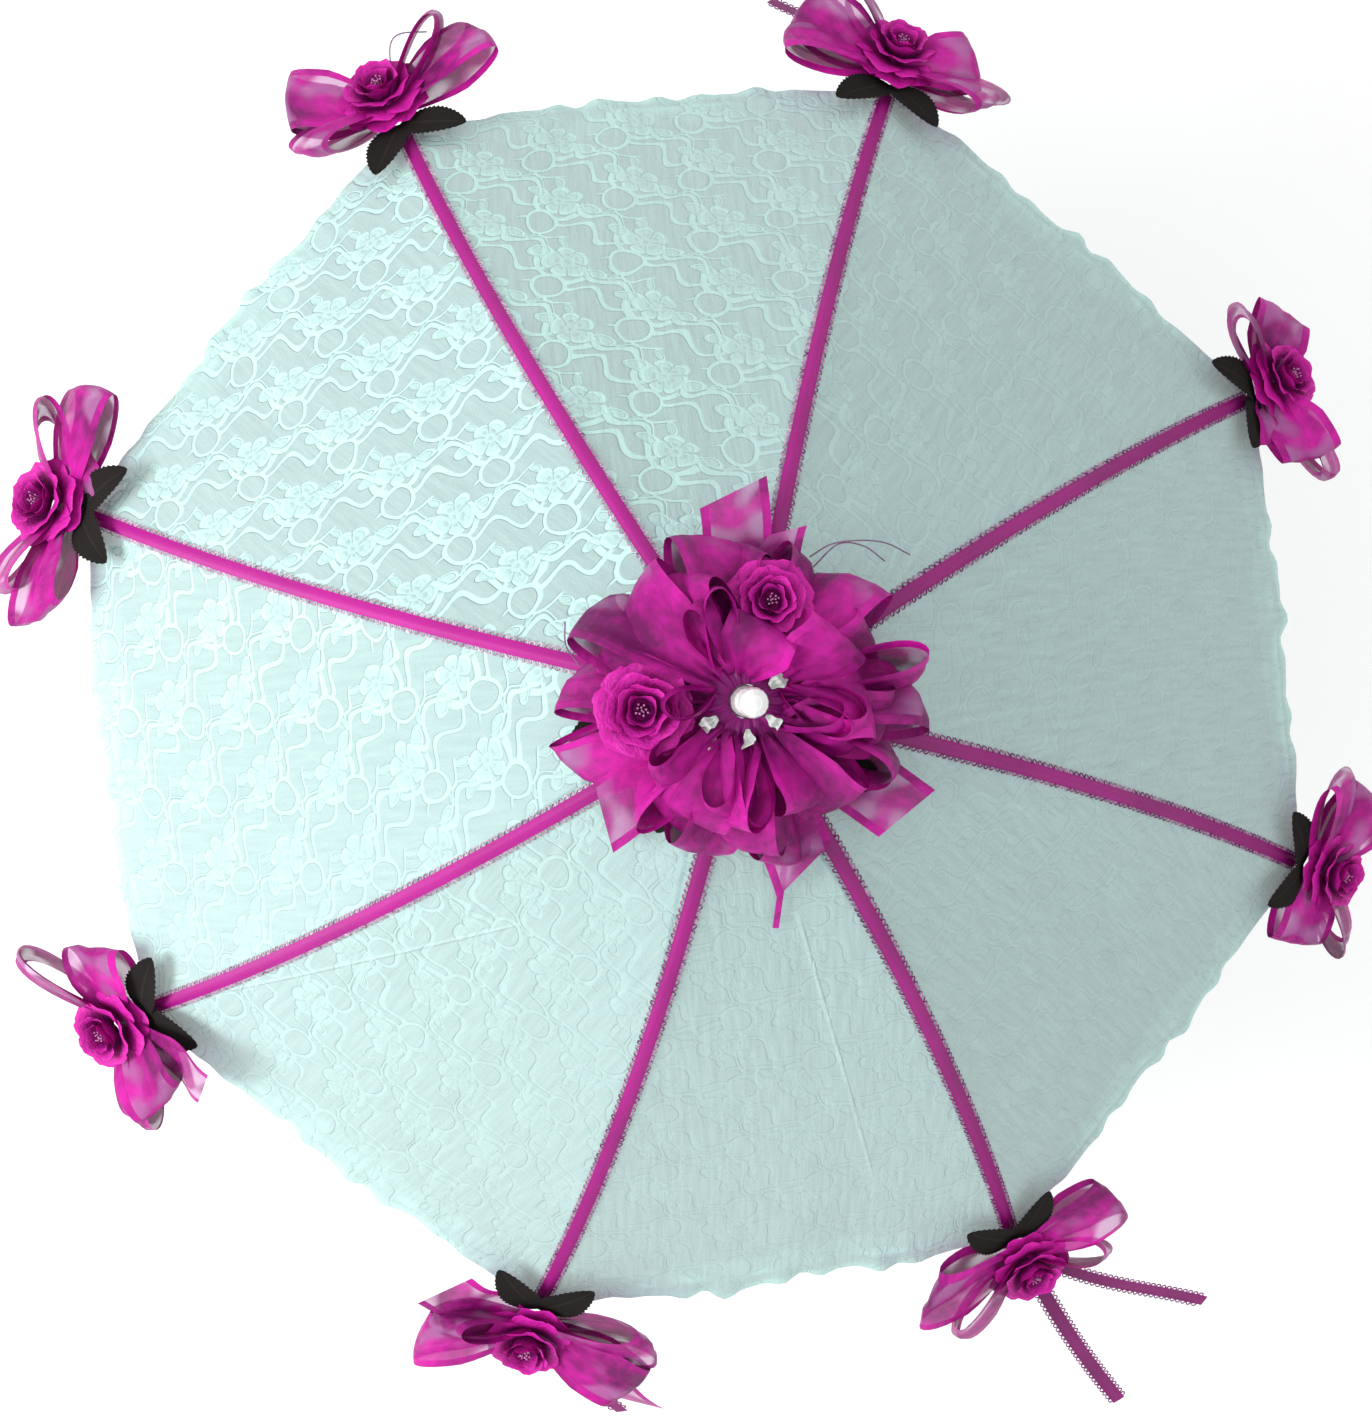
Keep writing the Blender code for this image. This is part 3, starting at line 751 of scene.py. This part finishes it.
def painted_glance(angle):
    """Painted light: how strongly the lace motif is painted to stand out at this direction round the shaft,
    as glancing light would show it; it fades on the far side.
    """
    return 0.07 + 0.93 * (0.5 + 0.5 * math.cos(angle - GLANCE_SIDE)) ** 3.0


def border_strength(gore, u, across, at_edge):
    """How dense the thread is near the hem, from 0 to 1: in the seam and in the bound edge."""
    reach = hem_reach(gore, across)
    u *= 1 + reach * u**6
    seam = math.exp(-(((u - 1) * RIB_LONG / SEAM_BORDER_W) ** 2)) * min(1.0, 60 * reach)
    return max(0.75 * seam, 0.7 if at_edge else 0.0, 0.22 if u > 0.955 else 0.0)


def lace_panel(k, material):
    """The lace over rib k, from the middle of one gore to the middle of the next."""
    start = rib_share(LACE_IN_R)
    shares = [2 * j / LACE_COLUMNS - 1 for j in range(LACE_COLUMNS + 1)]
    row_u = [start + (1 - start) * (1 - (1 - i / LACE_ROWS) ** 1.25) for i in range(LACE_ROWS + 1)]

    def at(i, j):
        return lace_point(row_u[i], shares[j], LACE_UP, k)

    def cloth(i, j):
        return (gore_at(k, shares[j])[1] * half_gore(row_u[i]), row_u[i] * RIB_LONG)

    points, faces, uvs = grid(LACE_ROWS, LACE_COLUMNS, at, cloth)
    turn = Matrix.Rotation(STEP * k, 4, "Z")
    obj = new_object(f"lace_cloth_{k + 1}", [turn @ point for point in points], faces, material)
    set_uvs(obj, uvs)
    border, clear, pale = [], [], []
    for i, u in enumerate(row_u):
        for across in shares:
            gore, v = gore_at(k, across)
            angle = STEP * k + across * STEP / 2
            border.append(border_strength(gore, u, v, i >= LACE_ROWS - 1))
            clear.append(painted_glance(angle))
            pale.append(painted_light(angle))
    for name, values in (("border", border), ("clear", clear), ("pale", pale)):
        set_values(obj, name, values)
    return obj


def tube(path, radius, sides=3):
    """A thin tube along a path, open at the ends."""
    points, faces = [], []
    for i, point in enumerate(path):
        ahead = Vector(path[min(i + 1, len(path) - 1)]) - Vector(path[max(i - 1, 0)])
        turn = ahead.to_track_quat("Z", "Y").to_matrix()
        for k in range(sides):
            angle = 2 * math.pi * k / sides
            spoke = Vector((radius * math.cos(angle), radius * math.sin(angle), 0))
            points.append(Vector(point) + turn @ spoke)
    for i in range(len(path) - 1):
        for k in range(sides):
            a, b = i * sides + k, i * sides + (k + 1) % sides
            faces.append((a, b, b + sides, a + sides))
    return points, faces, None


def satin_strip(place, long):
    """The satin of a ribbon: place(s, y, z) is the point s along it, y sideways and z above it."""
    rows, columns = max(8, int(long / SATIN_STEP)), 4

    def cloth(i, j):
        return ((j - 2) * SATIN_W / columns, long * i / rows)

    def at(i, j):
        y, s = cloth(i, j)
        return place(s, y, 0.0001 * (2 - abs(j - 2)))

    return grid(rows, columns, at, cloth)


def picot_loops(place, long):
    """The small thread loops along both edges of a ribbon."""
    loops, steps = [], 5
    for side in (-1, 1):
        for n in range(int(long / PICOT_PITCH)):
            path = []
            for step in range(steps + 1):
                angle = math.pi * step / steps
                s = (n + 0.5 - 0.38 * math.cos(angle)) * PICOT_PITCH
                path.append(place(s, side * (SATIN_W / 2 - PICOT_IN + PICOT_OUT * math.sin(angle)), 0))
            loops.append(tube(path, PICOT_R))
    return join(loops)


def picot_ribbon(name, place, long, matrix, mats, body, pale):
    """A satin ribbon with its picots, riding on a body. pale is the painted light of its satin and threads,
    from 0 for painted shade to 1 on the lamp's side.
    """
    points, faces, uvs = moved(satin_strip(place, long), matrix)
    satin = new_object(name, points, faces, mats["satin"])
    set_uvs(satin, uvs)
    points, faces, _ = moved(picot_loops(place, long), matrix)
    loops = new_object(name + "_picots", points, faces, mats["picot"])
    for piece in (satin, loops):
        set_values(piece, "pale", [pale] * len(piece.data.vertices))
        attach(piece, body)
    return satin, loops


# Organza loops, tails, leaves and roses


def organza_loop(reach, rise, seed):
    """One loop of wired organza ribbon: gathered at the knot, out along X, and back above itself."""
    rows, columns = 28, 8
    rng = random.Random(seed)
    phase, pleats, lean = rng.uniform(*ANY_ANGLE), rng.uniform(2.2, 3.4), rng.uniform(-0.12, 0.12)

    def at(i, j):
        t, v = i / rows, 2 * j / columns - 1
        out = (1 - math.cos(2 * math.pi * t)) / 2
        spread = min(1.0, out * 1.7) ** 0.8
        fold = 0.0030 * (1 - 0.7 * spread) * math.cos(pleats * math.pi * v + phase)
        fold += 0.0016 * spread * math.sin(2.6 * v + phase + 5 * t)
        high = -math.sin(2 * math.pi * t) * rise * (0.4 + 0.6 * out)
        x = reach * out * (1 + lean * v - 0.05 * v * v)
        return Vector((x, v * ORGANZA_W / 2 * (0.24 + 0.76 * spread), high + fold))

    def cloth(i, j):
        return ((2 * j / columns - 1) * ORGANZA_W / 2, LOOP_TEXTURE * reach * i / rows)

    return grid(rows, columns, at, cloth)


def organza_tail(long, seed, width=ORGANZA_W):
    """A cut end of organza ribbon, gathered at the knot and waving outward along X."""
    rows, columns = 20, 8
    rng = random.Random(seed)
    phase, slant = rng.uniform(*ANY_ANGLE), rng.uniform(-0.18, 0.18)

    def at(i, j):
        s, v = i / rows, 2 * j / columns - 1
        spread = min(1.0, s * 1.8) ** 0.8
        wave = 0.0025 * math.sin(3.0 * s * math.pi + phase) * s
        wave += 0.0015 * math.cos(2.4 * math.pi * v + phase) * (1 - s)
        return Vector((long * s * (1 + slant * v * s), v * width / 2 * (0.26 + 0.74 * spread), wave))

    def cloth(i, j):
        return ((2 * j / columns - 1) * width / 2, long * i / rows)

    return grid(rows, columns, at, cloth)


def velvet_leaf(long, seed):
    """A leaf with a toothed edge, a raised midrib and a slight arch, along X."""
    rows, columns = 30, 6
    lift = random.Random(seed).uniform(0.001, 0.004)

    def at(i, j):
        s, v = i / rows, 2 * j / columns - 1
        tooth = 0.13 if i % 2 and abs(v) == 1 else 0.0
        half = long * 0.24 * math.sin(math.pi * min(1.0, s**0.85)) ** 0.65 * (1 + tooth)
        arch = lift * math.sin(math.pi * s) + 0.0018 * abs(v) * math.sin(math.pi * s)
        return Vector((long * s, v * half, arch))

    def cloth(i, j):
        return (2 * j / columns - 1, i / rows)

    return grid(rows, columns, at, cloth)


def petal(azimuth, half_angle, base, rim, curl, rng):
    """One rose petal about the Z axis: base and rim are (radius, height), curl rolls its edge outward."""
    rows, columns = 7, 8
    phase = rng.uniform(*ANY_ANGLE)
    wide = half_angle * rng.uniform(0.92, 1.1)

    def at(i, j):
        b, a = i / rows, 2 * j / columns - 1
        reach = b * (1 - 0.22 * a**4)
        roll = curl * max(0.0, reach - 0.6) ** 2 / 0.16
        radius = base[0] + (rim[0] - base[0]) * reach**0.8 + roll * 0.9
        radius += 0.0011 * reach**3 * math.sin(5 * a + phase) + 0.0009 * abs(a)
        height = base[1] + (rim[1] - base[1]) * reach - roll * 0.8
        height += 0.0010 * reach**3 * math.cos(6 * a + phase)
        angle = azimuth + wide * a * (0.75 + 0.25 * b)
        return Vector((radius * math.cos(angle), radius * math.sin(angle), height))

    return grid(rows, columns, at, lambda i, j: (j / columns, i / rows))


def rose_petals(scale, seed):
    """Rings of petals round an open cup, with three small petals low in its middle."""
    rng = random.Random(seed)
    parts = []
    for count, half, base, rim, curl in ROSE_RINGS:
        turn = rng.uniform(*ANY_ANGLE)
        for m in range(count):
            azimuth = turn + 2 * math.pi * (m + rng.uniform(-0.12, 0.12)) / count
            parts.append(petal(azimuth, math.radians(half), base, rim, curl, rng))
    for m in range(3):
        parts.append(petal(2.1 * m, math.radians(70), (0.0002, 0.0045), (0.0070, 0.0090), 0.0, rng))
    return moved(join(parts), Matrix.Scale(scale, 4))


def bead(foot, sides=5):
    """A bead above its foot, from short tubes that widen and then narrow."""
    parts = []
    for i, radii in enumerate(zip(BEAD_RADII, BEAD_RADII[1:])):
        ends = [foot + Vector((0, 0, BEAD_STEP * ring)) for ring in (i, i + 1)]
        points, faces, _ = tube(ends, 1.0, sides)
        rings = [m // sides for m in range(len(points))]
        shaped = [ends[r] + (point - ends[r]) * radii[r] for r, point in zip(rings, points)]
        parts.append((shaped, faces, None))
    return parts


def stamens(scale, seed):
    """The small beads on threads inside a rose's cup."""
    rng = random.Random(seed)
    parts = []
    for n in range(STAMENS):
        angle, far = 2.4 * n, 0.0011 * math.sqrt(n)
        foot = Vector((far * 0.4 * math.cos(angle), far * 0.4 * math.sin(angle), 0.005))
        head = Vector((far * math.cos(angle), far * math.sin(angle), 0.0145 + rng.uniform(-0.001, 0.001)))
        parts += [tube([foot, head], STAMEN_R), *bead(head)]
    return moved(join(parts), Matrix.Scale(scale, 4))


def add_piece(name, part, material, body, replaces=None):
    """A piece that rides on a body, and may stand in for a CAD node."""
    points, faces, uvs = part
    obj = new_object(name, points, faces, material)
    if uvs:
        set_uvs(obj, uvs)
    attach(obj, body)
    if replaces:
        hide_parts(replaces)
    return obj


def build_rose(name, matrix, scale, seed, mats, body, replaces):
    """A rose and its stamens, with its foot at the origin of matrix."""
    petals = moved(rose_petals(scale, seed), matrix)
    add_piece(name, petals, mats["petal"], body, replaces)
    add_piece(name + "_stamens", moved(stamens(scale, seed), matrix), mats["stamen"], body)


def tip_frame(k):
    """At the tip of rib k: X outward down the slope, Y sideways, Z off the cloth."""
    place = Matrix.Translation(rib_point(1)) @ Matrix.Rotation(SLOPE_OUT, 4, "Y")
    return Matrix.Rotation(STEP * k, 4, "Z") @ place


def knot_frame(k):
    return tip_frame(k) @ Matrix.Translation((KNOT_OUT, 0, KNOT_UP))


def aimed(direction, lift=0.0, twist=0.0):
    """Turns a piece drawn along X, in degrees: direction about Z, lift from the plane, twist about itself."""
    turn = Matrix.Rotation(math.radians(direction), 4, "Z") @ Matrix.Rotation(-math.radians(lift), 4, "Y")
    return turn @ Matrix.Rotation(math.radians(twist), 4, "X")


def fold_at_tip(piece, k):
    """Gives a piece at the tip of rib k its own copy of its mesh."""
    tip_frame(k).translation
    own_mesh(piece)


def build_bow(k, mats):
    """The organza loops and cut tails at the tip of rib k."""
    knot = knot_frame(k)
    parts = [
        moved(organza_loop(reach / MM, TIP_RISE, 10 * k + n), knot @ aimed(direction, lift, twist))
        for n, (direction, reach, twist, lift) in enumerate(TIP_LOOPS[k])
    ]
    long = sum(LOOP_CLOTH * (loop[1] / MM) for loop in TIP_LOOPS[k])
    for n, (tip, direction, reach) in enumerate(TIP_TAILS):
        if tip == k:
            parts.append(moved(organza_tail(reach, n), knot @ aimed(direction, 8, 10)))
            long += reach
    bow = add_piece(
        f"bow_cloth_{k + 1}", join(parts), mats["organza"], f"rib_{k + 1}", f"bow_{k + 1}"
    )
    return bow


def build_tip(k, mats):
    """The bow, leaves and rose at the tip of rib k."""
    body = f"rib_{k + 1}"
    bow = build_bow(k, mats)
    root = tip_frame(k) @ Matrix.Translation(TIP_LEAF_PLACE)
    leaves = [
        moved(velvet_leaf(TIP_LEAF_LONG, 7 * k + direction), root @ aimed(direction, 3))
        for direction in TIP_LEAVES[k]
    ]
    velvet = add_piece(f"leaves_{k + 1}", join(leaves), mats["velvet"], body)
    for piece in (bow, velvet):
        fold_at_tip(piece, k)
    seat = Matrix.Translation((TIP_R + ROSE_OUT, 0, rib_point(1).z - ROSE_DOWN))
    seat = Matrix.Rotation(STEP * k, 4, "Z") @ (seat @ Matrix.Rotation(ROSE_TILT, 4, "Y"))
    build_rose(f"bloom_{k + 1}", seat, TIP_ROSE_SCALE, 40 + k, mats, body, f"rose_{k + 1}")


def satin_tail(n, tip, direction, lift, long, bend, mats):
    """A loose end of the picot ribbon that leaves a bow."""

    def place(s, y, z):
        part = s / long
        return Vector((s, y + bend * part * part, z + 0.003 * math.sin(5 * part) - 0.05 * s * part))

    matrix = knot_frame(tip) @ aimed(direction, lift)
    # The loose tails are all painted as on the shaded side: their painted light, pale, is 0.
    satin, loops = picot_ribbon(f"satin_tail_{n + 1}", place, long, matrix, mats, f"rib_{tip + 1}", 0.0)
    for piece in (satin, loops):
        fold_at_tip(piece, tip)


def gathered_hollow():
    """The pleats of organza that close in round the foot of the ferrule."""
    rows, columns = 8, 160
    rng = random.Random(9)
    phase, fine_phase = rng.uniform(*ANY_ANGLE), rng.uniform(*ANY_ANGLE)

    def at(i, j):
        s, angle = i / rows, 2 * math.pi * j / columns
        pleat = math.sin(17 * angle + phase) + 0.6 * math.sin(29 * angle + fine_phase)
        radius = HOLLOW_IN_R + HOLLOW_OUT * s
        swell = 0.006 * s * (1 - s) * 4 * 0.4 + 0.0016 * pleat * s * (1.4 - s)
        z = rib_point(rib_share(radius)).z + HOLLOW_UP + swell
        return Vector((radius * math.cos(angle), radius * math.sin(angle), z))

    def cloth(i, j):
        return (0.012 * math.sin(40 * j / columns), 0.03 * i / rows + j * 0.001)

    return grid(rows, columns, at, cloth)


def bunch_base(azimuth, radius, up=0.0065):
    """A frame on the canopy beside the ferrule: X outward down the slope."""
    start = rib_point(rib_share(radius))
    place = Matrix.Translation((radius, 0, start.z + up)) @ Matrix.Rotation(SLOPE_IN, 4, "Y")
    return Matrix.Rotation(math.radians(azimuth), 4, "Z") @ place


def thin_ribbon():
    """A narrow cut end of satin that hangs from the bunch and lies on the lace."""
    start, end, rows = Vector(THIN_START), Vector(THIN_END), 20
    side = Vector((start.y - end.y, end.x - start.x)).normalized() * THIN_W / 2

    def at(i, j):
        flat = start.lerp(end, i / rows) + side * (j - 1)
        height = 0.010 - 0.012 * i / rows - 0.0003 * abs(j - 1)
        return Vector((flat.x, flat.y, rib_point(rib_share(flat.length)).z + height))

    return grid(rows, 2, at, lambda i, j: (ORGANZA_W / 2 - 0.001 * j, 0.09 * i / rows))


def bunch_loop(seed, azimuth, radius, reach, twist, lift, rise, turn=0.0):
    """One loop of the bunch, turned off its azimuth by turn degrees."""
    place = bunch_base(azimuth, radius / MM) @ aimed(turn, lift, twist)
    return moved(organza_loop(reach / MM, rise / MM, seed), place)


def bunch_ribbons():
    """The loops, curls and cut tails of the bunch."""
    parts = [bunch_loop(100 + n, *loop) for n, loop in enumerate(BUNCH_LOOPS)]
    parts += [bunch_loop(130 + n, *loop, CURL_TURN * math.sin(5.1 * n)) for n, loop in enumerate(BUNCH_CURLS)]
    for n, (azimuth, long, twist) in enumerate(BUNCH_TAILS):
        parts.append(moved(organza_tail(long, 200 + n), bunch_base(azimuth, 0.016) @ aimed(0, 3, twist)))
    return join([*parts, thin_ribbon()])


def build_bunch(mats):
    """Ribbons, leaves, roses and lace tufts gathered round the ferrule."""
    long = sum(LOOP_CLOTH * (loop[2] / MM) for loop in BUNCH_LOOPS + BUNCH_CURLS)
    long += sum(tail[1] for tail in BUNCH_TAILS)
    bunch = add_piece("bunch_cloth", bunch_ribbons(), mats["organza"], "shaft", "bunch")
    # The gathers carry the painted shade of the hollow round the ferrule's foot.
    hollow = add_piece("bunch_gathers", gathered_hollow(), mats["hollow"], "shaft")
    leaves = [
        moved(velvet_leaf(BUNCH_LEAF_LONG, 300 + n), bunch_base(azimuth, radius, 0.0055) @ aimed(15, 2))
        for n, (azimuth, radius) in enumerate(BUNCH_LEAVES)
    ]
    add_piece("bunch_leaves", join(leaves), mats["velvet"], "shaft")
    for n, (azimuth, radius, scale) in enumerate(BUNCH_ROSES):
        seat = Matrix.Translation(bunch_base(azimuth, radius, 0.0185).translation)
        upright = seat @ Matrix.Rotation(math.radians(azimuth), 4, "Z")
        tilted = upright @ Matrix.Rotation(math.radians(6), 4, "Y")
        build_rose(f"bunch_bloom_{n + 1}", tilted, scale, 60 + n, mats, "shaft", f"bunch_rose_{n + 1}")
    tufts = []
    for n, (azimuth, radius, wide) in enumerate(LACE_TUFTS):
        place = bunch_base(azimuth, radius / MM - 0.004, 0.013) @ aimed(0, 25, 25)
        tufts.append(moved(organza_tail(0.009, 400 + n, wide / MM), place))
    add_piece("lace_tufts", join(tufts), mats["tuft"], "shaft", "lace_collar")


def smooth_tube(path, radius):
    """A tube along a smooth curve through the given points."""
    steps = 8
    points = [Vector(point) for point in path]
    points = [points[0] * 2 - points[1], *points, points[-1] * 2 - points[-2]]
    curve = []
    for a, b, c, d in zip(points, points[1:], points[2:], points[3:]):
        for n in range(steps):
            t = n / steps
            bend = 2 * b + (c - a) * t + (2 * a - 5 * b + 4 * c - d) * t * t
            curve.append(0.5 * (bend + (3 * b - a - 3 * c + d) * t**3))
    return tube(curve + [points[-2]], radius, 5)


def build_wires(mats):
    """The loose ends of fine wire that tie the bunch and one of the bows."""
    for name, tip, paths in WIRES:
        body = "shaft" if tip is None else f"rib_{tip + 1}"
        wires = join([smooth_tube(path, WIRE_R) for path in paths])
        piece = add_piece(name, wires, mats["wire"], body)
        if tip is not None:
            fold_at_tip(piece, tip)


# Stage


def make_camera():
    lean = math.hypot(*CAMERA_LEAN)
    axis = Vector((-CAMERA_LEAN[1], CAMERA_LEAN[0], 0)).normalized()
    tilt = Matrix.Rotation(lean, 4, axis) @ Matrix.Rotation(CAMERA_ROLL, 4, "Z")
    data = bpy.data.cameras.new("camera")
    data.lens, data.sensor_width = CAMERA_LENS, SENSOR_W
    data.shift_x, data.shift_y = CAMERA_SHIFT
    camera = bpy.data.objects.new("camera", data)
    back = Matrix.Translation((0, 0, CAMERA_DISTANCE))
    camera.matrix_world = Matrix.Translation((0, 0, CROWN_Z)) @ tilt.inverted() @ back
    bpy.context.scene.collection.objects.link(camera)
    bpy.context.scene.camera = camera


def area_light(name, place, target, size, watts):
    data = bpy.data.lights.new(name, "AREA")
    data.size, data.energy = size, watts
    light = bpy.data.objects.new(name, data)
    light.location = place
    light.rotation_euler = (Vector(target) - Vector(place)).to_track_quat("-Z", "Y").to_euler()
    bpy.context.scene.collection.objects.link(light)


def make_stage():
    corners = [(x * FLOOR_HALF, y * FLOOR_HALF, FLOOR_Z) for x, y in ((-1, -1), (1, -1), (1, 1), (-1, 1))]
    glow = {"Emission_Color": (1, 1, 1, 1), "Emission_Strength": FLOOR_GLOW}
    pale = surface("floor", (0.95, 0.95, 0.95), 0.95, **glow)
    new_object("floor", corners, [(0, 1, 2, 3)], pale, smooth=False)
    world = bpy.data.worlds.new("world")
    world.use_nodes = True
    background = world.node_tree.nodes["Background"]
    background.inputs["Color"].default_value = (1, 1, 1, 1)
    background.inputs["Strength"].default_value = SKY_LIGHT
    bpy.context.scene.world = world
    bpy.context.scene.view_settings.view_transform = "Standard"
    lamp = Matrix.Rotation(KEY_SIDE, 3, "Z") @ Vector(KEY_PLACE)
    area_light("key", lamp, KEY_TARGET, KEY_SIZE, KEY_WATTS)


def build_panel(k, mats):
    """The lace over rib k and the picot ribbon along it."""
    start = rib_share(RIBBON_IN_R)
    turn = Matrix.Rotation(STEP * k, 3, "Z")
    body = f"rib_{k + 1}"
    panel = lace_panel(k, mats["lace"])
    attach(panel, body)
    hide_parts(f"lace_{k + 1}")

    def place(s, y, z):
        u = start + s / RIB_LONG
        return lace_point(u, y / half_gore(u), RIBBON_UP + z, k)

    long = (RIBBON_END - start) * RIB_LONG
    pale = painted_light(STEP * k)
    ribbon, loops = picot_ribbon(f"satin_{k + 1}", place, long, turn.to_4x4(), mats, body, pale)
    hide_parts(f"ribbon_{k + 1}")
    ridge = rib_point(0.5)
    ridge.y = SWIRL / 2
    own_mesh(panel)


def paint_frame(frame):
    """Gives the CAD nodes that stay visible their finish."""
    finish = frame_finishes()
    for part in frame["record"]["subparts"]:
        node = frame["nodes"][part["node"]]
        if part["material_slot"] in finish:
            node.data.materials.clear()
            node.data.materials.append(finish[part["material_slot"]])


def make_materials():
    """The cloths, threads and wire that the pieces here are made of."""
    return {
        "lace": lace_material(),
        "satin": satin_material(),
        "picot": picot_material(),
        "organza": organza_material(),
        "hollow": hollow_shade_material(),
        "petal": petal_material(),
        "velvet": velvet_material(),
        "stamen": finish_material("stamen_beads", (0.42, 0.06, 0.32), (0.84, 0.40, 0.70), 0.4, 700, 0.0001),
        "tuft": finish_material("white_lace", (0.60, 0.66, 0.63), (0.90, 0.93, 0.90), 0.8, 500, 0.0004),
        "wire": finish_material("tie_wire", (0.12, 0.05, 0.13), (0.30, 0.18, 0.30), 0.5, 300, 0.0001),
    }


def main():
    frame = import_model()
    mats = make_materials()
    make_camera()
    make_stage()
    for k in range(RIBS):
        build_panel(k, mats)
    for k in range(RIBS):
        build_tip(k, mats)
    for n, (tip, direction, lift, long, bend) in enumerate(SATIN_TAILS):
        satin_tail(n, tip, direction, lift, long, bend, mats)
    build_bunch(mats)
    build_wires(mats)
    paint_frame(frame)


main()
